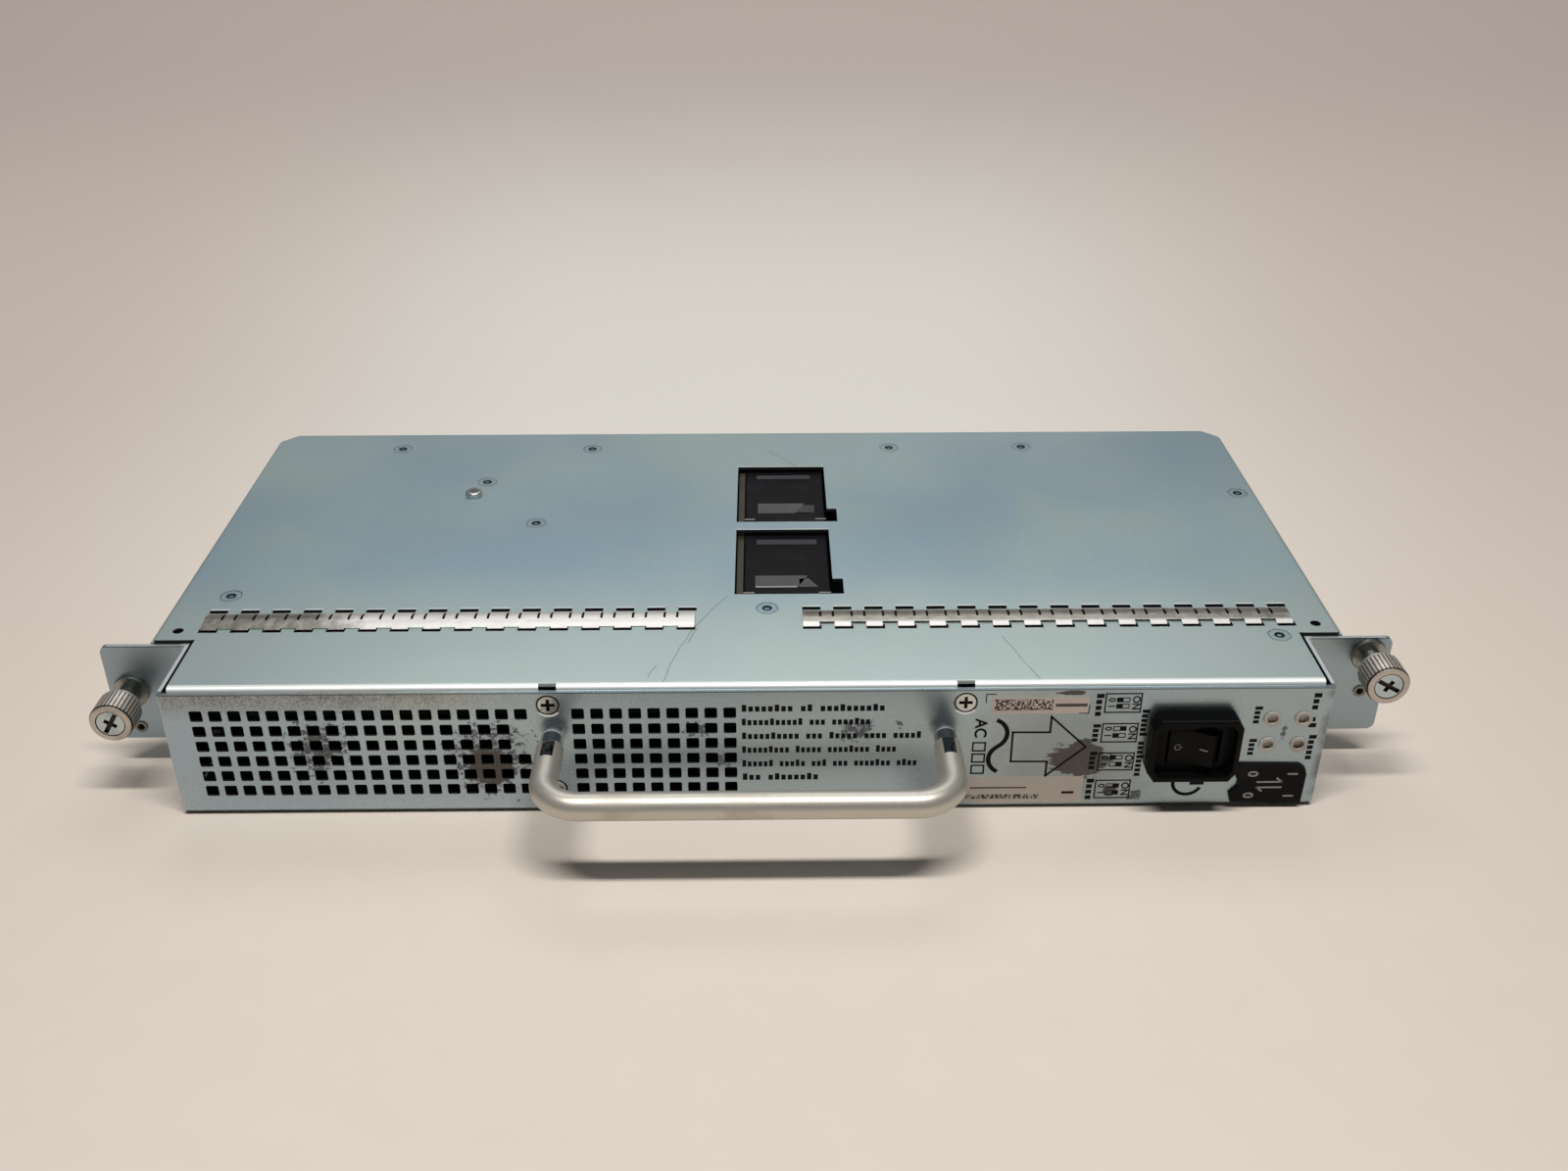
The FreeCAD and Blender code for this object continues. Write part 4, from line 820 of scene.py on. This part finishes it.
# %% Wind the springs
COIL, WIRE, STEPS, TURN, PRESS = 2.2, 0.35, 77, 16, 5.0
spring_wire = metal("spring_steel", (150, 150, 148), (110, 104, 96), 0.3)
for side, (x, z) in KNOBS.items():
    front, seat = ((corner.y - FACE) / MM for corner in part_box("spring_" + side))
    bm = bmesh.new()
    bmesh.ops.create_circle(bm, segments=8, radius=WIRE, matrix=Matrix.Translation((COIL, front + WIRE, 0)))
    rise = (seat - front - 2 * WIRE) / STEPS
    bmesh.ops.spin(bm, geom=bm.verts[:] + bm.edges[:], cent=(0, 0, 0), axis=(0, 1, 0), dvec=(0, rise, 0),
                   angle=STEPS / TURN * math.tau, steps=STEPS)
    bmesh.ops.holes_fill(bm, edges=[edge for edge in bm.edges if edge.is_boundary])
    outward(bm)
    set_down(bm, x, z)
    coil = piece("spring_coil_" + side, bm, spring_wire, slot="spring_steel", replaces=["spring_" + side])
    "thumbscrew_%s_press" % side
    at(x, seat, z)
    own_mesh(coil)

# %% [markdown]
# ## Clinched standoffs and bush threads
# A clinched standoff is pressed into the sheet until it is flush, so all that shows is the fine dark
# seam around its hexagon and the rim of its dimple, whose dark ring is painted shade. Each seam is a
# hexagon or a circle whose face is inset and whose middle is deleted, which leaves a thin ring. The
# bushes in the ears are tapped, and their thread is a zigzag outline spun around the bore and closed
# at the back; its dark brass stands partly for the shade in the bore.

# %% Draw the seams and cut the threads
STANDOFFS = [(-131.5, 163.5), (-60.0, 162.7), (-95.3, 134.8), (-73.6, 102.5), (-163.5, 54.1),
             (5.5, 44.5), (51.9, 162.5), (102.0, 162.7), (173.4, 122.5), (160.3, 26.6)]
DECK = CASE_HIGH.z / MM


def seam(bm, x, y, radius, corners, width, finish):
    """A thin ring with so many corners on the top sheet, in the piece's first or second finish."""
    place = put(x, y, DECK + 0.02, math.radians(12), "Z")
    dots = bmesh.ops.create_circle(bm, cap_ends=True, radius=radius * MM, segments=corners,
                                   matrix=place)["verts"]
    inner = list(dots[0].link_faces)
    ring = bmesh.ops.inset_region(bm, faces=inner, thickness=width * MM, use_boundary=True,
                                  use_even_offset=True)["faces"]
    for face in ring:
        face.material_index = finish
    bmesh.ops.delete(bm, geom=inner, context="FACES")


bm = bmesh.new()
for x, y in STANDOFFS:
    seam(bm, x, y, 3.75, 6, 0.22, 0)
    # the dimple's dark ring is painted shade
    seam(bm, x, y, 1.6, 20, 0.75, 1)
piece("standoff_seams", bm, metal("seam_grey", (112, 122, 126), (150, 160, 164), 0.4),
      metal("painted_dimple_shade", (48, 56, 60), (66, 74, 78), 0.35))
BUSH_FRONT, BUSH_BACK = ((corner.y - FACE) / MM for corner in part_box("ear_bushes"))
BELOW_KNOB, BORE, THREAD, LEAD = 13.7, 1.12, 0.25, 0.17
zigzag = [(BORE - THREAD * (turn % 2), BUSH_FRONT + 0.2 + LEAD * turn) for turn in range(9)]
zigzag.append((0, BUSH_BACK - 0.1))
bm = bmesh.new()
for x, z in KNOBS.values():
    middle = at(x, 0, z - BELOW_KNOB)
    turned(bm, [middle + Vector((r * MM, y * MM, 0)) for r, y in zigzag], 24, middle)
bmesh.ops.remove_doubles(bm, verts=bm.verts[:], dist=1e-7)
outward(bm)
# brass darkened as painted shade in the bore
piece("bush_threads", bm, metal("shaded_thread_brass", (70, 58, 34), (40, 33, 22), 0.3), slot="brass_bush")

# %% [markdown]
# ## Drive crosses of the side screws
# Three small screws on each side hold the bottom cover. Each cross recess is drawn as two thin dark bars
# of painted shade laid on the head, a quarter turn apart. Such a bar is a stretched cube, and so is most
# of the print below.

# %% Lay the drive crosses on the side screws
SIDE, LEAN = 180.24, 0.3


def slab(bm, place, width, depth, height):
    """A box of a size in millimetres at a place that may be turned; returns its corners."""
    size = Matrix.Diagonal((width * MM, depth * MM, height * MM, 1))
    return bmesh.ops.create_cube(bm, size=1, matrix=place @ size)["verts"]


bm = bmesh.new()
for x in (-SIDE, SIDE):
    for y in (50, 100, 150):
        for turn in (LEAN, LEAN + math.pi / 2):
            slab(bm, put(x, y, 6, turn, "X"), 0.04, 2.8, 0.6)
piece("side_screw_crosses", bm, painted_groove_shade, slot="zinc_screw")

# %% [markdown]
# ## Printed marks
# The panel is screen printed. Ink is a skin a few hundredths of a millimetre thick, so each mark is a
# thin slab laid on the panel: straight strokes are stretched cubes, and round ones are small slabs
# spun through an angle. Running text is set as rows of small blocks, the way a printer greeks a page
# that nobody has to read.

# %% Tools for ink
SKIN, SIDEWAYS = 0.04, -math.pi / 2


def bar(bm, x, z, width, height, turn=0.0, y=0.0, skin=SKIN):
    """A thin upright slab on a face at depth y, turned in the plane of that face."""
    slab(bm, put(x, y - skin / 2, z, -turn), width, skin, height)


def stroke(bm, start, end, weight, y=0.0):
    """A straight stroke from one point to another."""
    run, rise = end[0] - start[0], end[1] - start[1]
    bar(bm, (start[0] + end[0]) / 2, (start[1] + end[1]) / 2, math.hypot(run, rise) + weight, weight,
        math.atan2(rise, run), y)


def trail(bm, points, weight, y=0.0):
    """Strokes from each point to the next."""
    for start, end in zip(points, points[1:]):
        stroke(bm, start, end, weight, y)


def boxed(bm, x0, z0, x1, z1, weight):
    """The outline of a box between two corners."""
    trail(bm, [(x0, z0), (x1, z0), (x1, z1), (x0, z1), (x0, z0)], weight)


def bow(bm, x, z, radius, first, last, weight, y=0.0):
    """A round stroke about (x, z), from one angle to another in degrees."""
    outwards = Matrix.Translation((radius * MM, (y - SKIN / 2) * MM, 0))
    place = put(x, 0, z, -math.radians(first)) @ outwards
    sides = {f for v in slab(bm, place, weight, SKIN, 1e-4) for f in v.link_faces}
    start = max((f for f in sides if abs(f.normal.y) < 0.5), key=lambda f: f.calc_area())
    bmesh.ops.delete(bm, geom=[f for f in sides if f is not start], context="FACES")
    bmesh.ops.spin(bm, geom=[start, *start.edges, *start.verts], cent=at(x, 0, z), axis=(0, 1, 0),
                   angle=-math.radians(last - first), steps=max(3, round(abs(last - first) / 8)))
    outward(bm)


def letters(bm, words, x, z, size, turn=0.0, y=0.0):
    """Sets numerals, ON or AC as flat type, centred on a point."""
    lettering = bpy.data.curves.new("type", "FONT")
    lettering.body = words
    lettering.size = 1
    lettering.offset = 0.025
    lettering.align_x = lettering.align_y = "CENTER"
    holder = show("type", lettering)
    bpy.context.view_layer.update()
    flat = bpy.data.meshes.new_from_object(holder.evaluated_get(bpy.context.evaluated_depsgraph_get()))
    before = set(bm.verts)
    bm.from_mesh(flat)
    fresh = [v for v in bm.verts if v not in before]
    upright = Matrix.Rotation(math.pi / 2, 4, "X") @ Matrix.Scale(size * MM, 4)
    bmesh.ops.transform(bm, verts=fresh, matrix=put(x, y - SKIN / 2, z, -turn) @ upright)
    bpy.data.objects.remove(holder)
    bpy.data.meshes.remove(flat)


def ink(name, color, thin):
    """Printing ink, worn thin where the panel is rubbed."""
    finish = Finish(name, roughness=0.5, **DULL)
    worn = finish.step(finish.noise(700, 4, 0.65), 0.52, 0.75)
    finish.feed(base_color=finish.mix(worn * 0.6, color, thin), roughness=0.45 + 0.15 * worn)
    return finish


black_ink = ink("black_ink", (6, 6, 8), (26, 27, 29))
pale_ink = ink("pale_ink", (160, 160, 159), (122, 122, 121))
print("ink lies %.2f mm thick" % SKIN)

# %% Print the text as blocks
def words(bm, x, z, letter, counts, tall, down=False):
    """Greeked text from its first edge on: a small block for each letter, some of them tall."""
    step = 0
    for count in counts:
        for number in range(step, step + count):
            run, rise = (number + 0.5) * letter, 0.15 * tall * (number * 7 % 5 == 0)
            spot = (x + rise, z - run) if down else (x + run, z + rise)
            bar(bm, *spot, 0.7 * letter, tall + 2 * rise, SIDEWAYS if down else 0)
        step += count + 1


bm = bmesh.new()
LINES = [(36.4, 1.9, (8, 2, 10)), (31.6, 1.64, (11, 3, 7)), (26.7, 1.7, (10, 3, 5, 4, 5)),
         (21.8, 1.57, (9, 5, 8, 4)), (16.8, 1.57, (6, 5, 3, 3, 7, 4)), (11.9, 1.9, (3, 8))]
for z, letter, counts in LINES:
    words(bm, -2.3, z, letter, counts, 1.8)
DOWN = [(101.2, 41.1, 2.08, (4,)), (101.2, 30.4, 1.68, (4,)), (101.2, 20.5, 1.7, (4,)),
        (101.2, 10.7, 2.05, (4,)), (147.7, 36.2, 1.6, (4,)), (147.7, 24.7, 1.55, (4,)),
        (164.2, 40.8, 2.1, (3, 2)), (165.1, 26.0, 1.86, (5,)), (115.0, 35.4, 1.62, (6, 8))]
for x, high, letter, counts in DOWN:
    words(bm, x, high, letter, counts, 1.7, down=True)
piece("panel_words", bm, black_ink)

# %% Print the arrow, the wave and the corner marks
bm = bmesh.new()
arrow = [(77, 27.5), (87.9, 27.4), (87.9, 32.9), (98.8, 22.1), (87.8, 11.7), (87.8, 16.9), (77.1, 17)]
trail(bm, arrow + arrow[:1], 0.62)
bow(bm, 70.2, 27.0, 5.2, 69, -59, 1.35)
bow(bm, 75.6, 18.0, 5.2, 121, 243, 1.35)
trail(bm, [(68.5, 38.1), (68.5, 40.9), (71.2, 40.9)], 0.3)
trail(bm, [(95.8, 34.1), (98.5, 34.1), (98.6, 36.8)], 0.3)
letters(bm, "AC", 67.4, 29, 4.9, SIDEWAYS)
for z in (22.4, 18.3, 14.2):
    boxed(bm, 65.6, z - 1.45, 69.2, z + 1.45, 0.5)
piece("panel_signs", bm, black_ink)

# %% [markdown]
# ## How to set the switches
# Beside the arrow, four small drawings show how the two setting sliders stand for each number of
# inputs: a frame, two sliders with one half filled, the numerals 0 and 1, and ON. The drawings differ
# only in height and in which half is filled, so a table of four rows prints them all.

# %% Print the setting drawings
bm = bmesh.new()
SETTINGS = [(34.3, 40.8, (38.65, 0), (36.45, 0)), (23.8, 30.3, (28.55, 1), (26.1, 0)),
            (13.6, 19.8, (18.2, 0), (15.7, 1)), (3.3, 9.8, (7.8, 1), (5.25, 1))]
for low, high, *sliders in SETTINGS:
    boxed(bm, 103.1, low, 113.4, high, 0.42)
    for number, (z, side) in enumerate(sliders):
        boxed(bm, 106.4, z - 0.67, 110.0, z + 0.67, 0.28)
        bar(bm, 107.3 + 1.8 * side, z, 1.75, 1.34)
        letters(bm, "01"[number], 104.8, z, 2.8, SIDEWAYS)
    letters(bm, "ON", 111.9, (low + high) / 2, 3.1, SIDEWAYS)
bow(bm, 130.5, 8.7, 4.3, 25, 335, 1.1)
stroke(bm, (131.7, 8.4), (135.0, 8.4), 1.0)
piece("setting_drawings", bm, black_ink)

# %% [markdown]
# ## Paper labels
# Two paper labels sit between the print: one with a block of tiny squares and one with a row of fine
# stripes. Their codes mean nothing here, so a cell noise fills the block and a stretched one the row.
# The paper is a thin slab with rounded corners that has yellowed a little.

# %% Stick on the labels
LABEL_SKIN = 0.03
UPPER_CODE, LOWER_CODE = (79.55, 37.2, 16.9, 3.8), (75.35, 4.1, 21.7, 1.6)


def label(name, x, z, width, height, finish, y=0.0, corner=0.6):
    """A thin slab with rounded corners."""
    bm = bmesh.new()
    bar(bm, x, z, width, height, y=y, skin=LABEL_SKIN)
    upright = [e for e in bm.edges if abs(e.verts[0].co.y - e.verts[1].co.y) > 0.01 * MM]
    bmesh.ops.bevel(bm, geom=upright, offset=corner * MM, segments=3, profile=0.5, affect="EDGES",
                    material=-1)
    piece(name, bm, finish)


def label_paper(name, color, aged):
    """Paper that has yellowed in clouds."""
    finish = Finish(name, roughness=0.55)
    age = finish.noise(160, 4, 0.6)
    finish.feed(base_color=finish.mix(age, color, aged))
    finish.bump(finish.noise(900, 3), 0.00004, 0.3)
    return finish


def code_cells(name, x, z, wide, tall, dark, pale, columns, rows):
    """Seeded cells of dark and pale, laid out in columns and rows."""
    finish = Finish(name, roughness=0.5)
    spot = finish.node("Mapping", {
        "Vector": finish.place, "Location": (-x * columns / wide, 0, -z * rows / tall),
        "Scale": (columns / wide / MM, 0, rows / tall / MM)})
    cell = finish.node("VectorMath", {0: spot}, operation="FLOOR")
    dot = finish.node("TexWhiteNoise", {"Vector": cell}) > 0.5
    finish.feed(base_color=finish.mix(dot, dark, pale))
    return finish


label("label_upper", 84.2, 36.95, 28.2, 5.6,
      label_paper("label_upper", (216, 203, 196), (204, 190, 182)))
label("label_upper_code", *UPPER_CODE, y=-LABEL_SKIN, corner=0.1,
      finish=code_cells("code_cells", *UPPER_CODE, (54, 44, 42), (206, 192, 184), 42, 9))
label("label_lower", 81.6, 6.6, 35.2, 9.6,
      label_paper("label_lower", (196, 188, 180), (182, 174, 166)))
label("label_lower_code", *LOWER_CODE, y=-LABEL_SKIN, corner=0.05,
      finish=code_cells("code_stripes", *LOWER_CODE, (50, 46, 44), (172, 162, 154), 62, 1))
bm = bmesh.new()
bar(bm, 93.3, 37.0, 9.2, 1.0, y=-LABEL_SKIN)
bar(bm, 74, 7.4, 16.9, 0.5, y=-LABEL_SKIN)
piece("label_marks", bm, ink("grey_ink", (92, 84, 80), (130, 120, 114)))
bm = bmesh.new()
bar(bm, 94.95, 5.45, 3.6, 0.8, y=-LABEL_SKIN)
piece("label_dash", bm, black_ink)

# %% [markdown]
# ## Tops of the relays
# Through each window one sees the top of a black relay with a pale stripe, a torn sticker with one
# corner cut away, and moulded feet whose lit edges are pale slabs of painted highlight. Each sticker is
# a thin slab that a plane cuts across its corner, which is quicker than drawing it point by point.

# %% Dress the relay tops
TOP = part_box("input_relay_front")[1].z / MM


def lying(bm, x0, y0, x1, y1, skin=0.05):
    """A thin slab that lies on a relay between two corners."""
    place = put((x0 + x1) / 2, (y0 + y1) / 2, TOP + skin / 2)
    return slab(bm, place, x1 - x0, y1 - y0, skin)


def sticker(bm, x0, y0, x1, y1, lean=0.42):
    """A slab with one corner torn off: its near right one, or its far right one for a negative lean."""
    before = set(bm.faces)
    verts = lying(bm, x0, y0, x1, y1)
    faces = [f for f in bm.faces if f not in before]
    edges = {e for f in faces for e in f.edges}
    cut = bmesh.ops.bisect_plane(bm, geom=[*verts, *edges, *faces], plane_no=(0.9, -lean, 0),
                                 plane_co=at(x1 - 3.2, y0 if lean > 0 else y1, TOP), clear_outer=True)
    bmesh.ops.holes_fill(bm, edges=[e for e in cut["geom_cut"] if isinstance(e, bmesh.types.BMEdge)])


def on_relays(name, finish, draw, *slabs):
    """One piece of several slabs on the relays, all drawn by the same function."""
    bm = bmesh.new()
    for corners in slabs:
        draw(bm, *corners)
    piece(name, bm, finish, slot="relay_black")


on_relays("relay_ribs", plastic("relay_rib", (14, 14, 15), (22, 21, 23), 0.5, **DULL), lying,
          *[(-1.9, rear, 25.9, rear + 0.6, 1.0) for rear in WINDOW_REARS])
on_relays("relay_stripes", plastic("relay_stripe", (66, 66, 70), (80, 80, 84), 0.5, **DULL), lying,
          (2.0, 141.0, 21.5, 143.9), (2.1, 90.6, 22.4, 93.9))
on_relays("relay_stickers", label_paper("relay_sticker", (86, 86, 88), (60, 60, 63)), sticker,
          (2.5, 113.6, 18.6, 121.1), (1.7, 61.7, 18.6, 69.2))
on_relays("relay_torn_rear", label_paper("torn_rear", (62, 61, 62), (44, 43, 45)), lying,
          (15.6, 114.4, 22.3, 119.8, 0.04))
on_relays("relay_torn_front", label_paper("torn_front", (84, 81, 82), (60, 58, 59)), sticker,
          (16.0, 61.8, 22.3, 67.2, -0.5))
FEET = [(-2.1, 108.7, 1.4, 109.4), (22.5, 108.9, 26.2, 109.6), (-2.1, 57.9, 1.5, 58.5),
        (22.2, 57.9, 26.0, 58.5), (1.9, 61.5, 15.2, 62.4)]
# painted highlight on the relays' feet and front edge
on_relays("relay_feet", plastic("relay_foot_highlight", (150, 148, 145), (112, 110, 108), 0.35), lying,
          *[(*foot, 0.06) for foot in FEET])

# %% [markdown]
# ## Marks on the rocker and the cover plate
# The rocker carries the standby sign on its low half and a stroke on its raised half. They ride on
# the rocker, so they tip with it. The cover plate over the setting sliders has numerals and two half
# arrows in pale print.

# %% Mark the rocker
LOW, SLOPE, PIVOT = -2.13, math.radians(26.8), 129.27
SIGN, STROKE, MIDDLE = 125.4, 132.5, 23.2
bm = bmesh.new()
bow(bm, SIGN, MIDDLE, 0.95, 35, 325, 0.24, LOW)
stroke(bm, (SIGN + 0.2, MIDDLE), (SIGN + 1.2, MIDDLE), 0.24, LOW)
raised = LOW - (STROKE - PIVOT) * math.tan(SLOPE) - 0.03
slab(bm, put(STROKE, raised, MIDDLE, -SLOPE, "Z"), 2.4, SKIN, 0.32)
piece("rocker_marks", bm, pale_ink, body="rocker", slot="switch_black")

# %% Mark the cover plate
bm = bmesh.new()
PLATE = (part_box("dip_cover")[0].y - FACE) / MM
for mark, x, z in (("0", 149.3, 12.4), ("0", 148.9, 4.5), ("1", 161.1, 12.3), ("1", 160.9, 4.2)):
    letters(bm, mark, x, z, 4.2, SIDEWAYS, PLATE)
trail(bm, [(151.2, 9.4), (158.4, 9.4), (156.9, 10.7)], 0.55, PLATE)
trail(bm, [(158.4, 7.4), (151.2, 7.4), (152.7, 6.1)], 0.55, PLATE)
piece("plate_marks", bm, pale_ink, slot="guard_black")
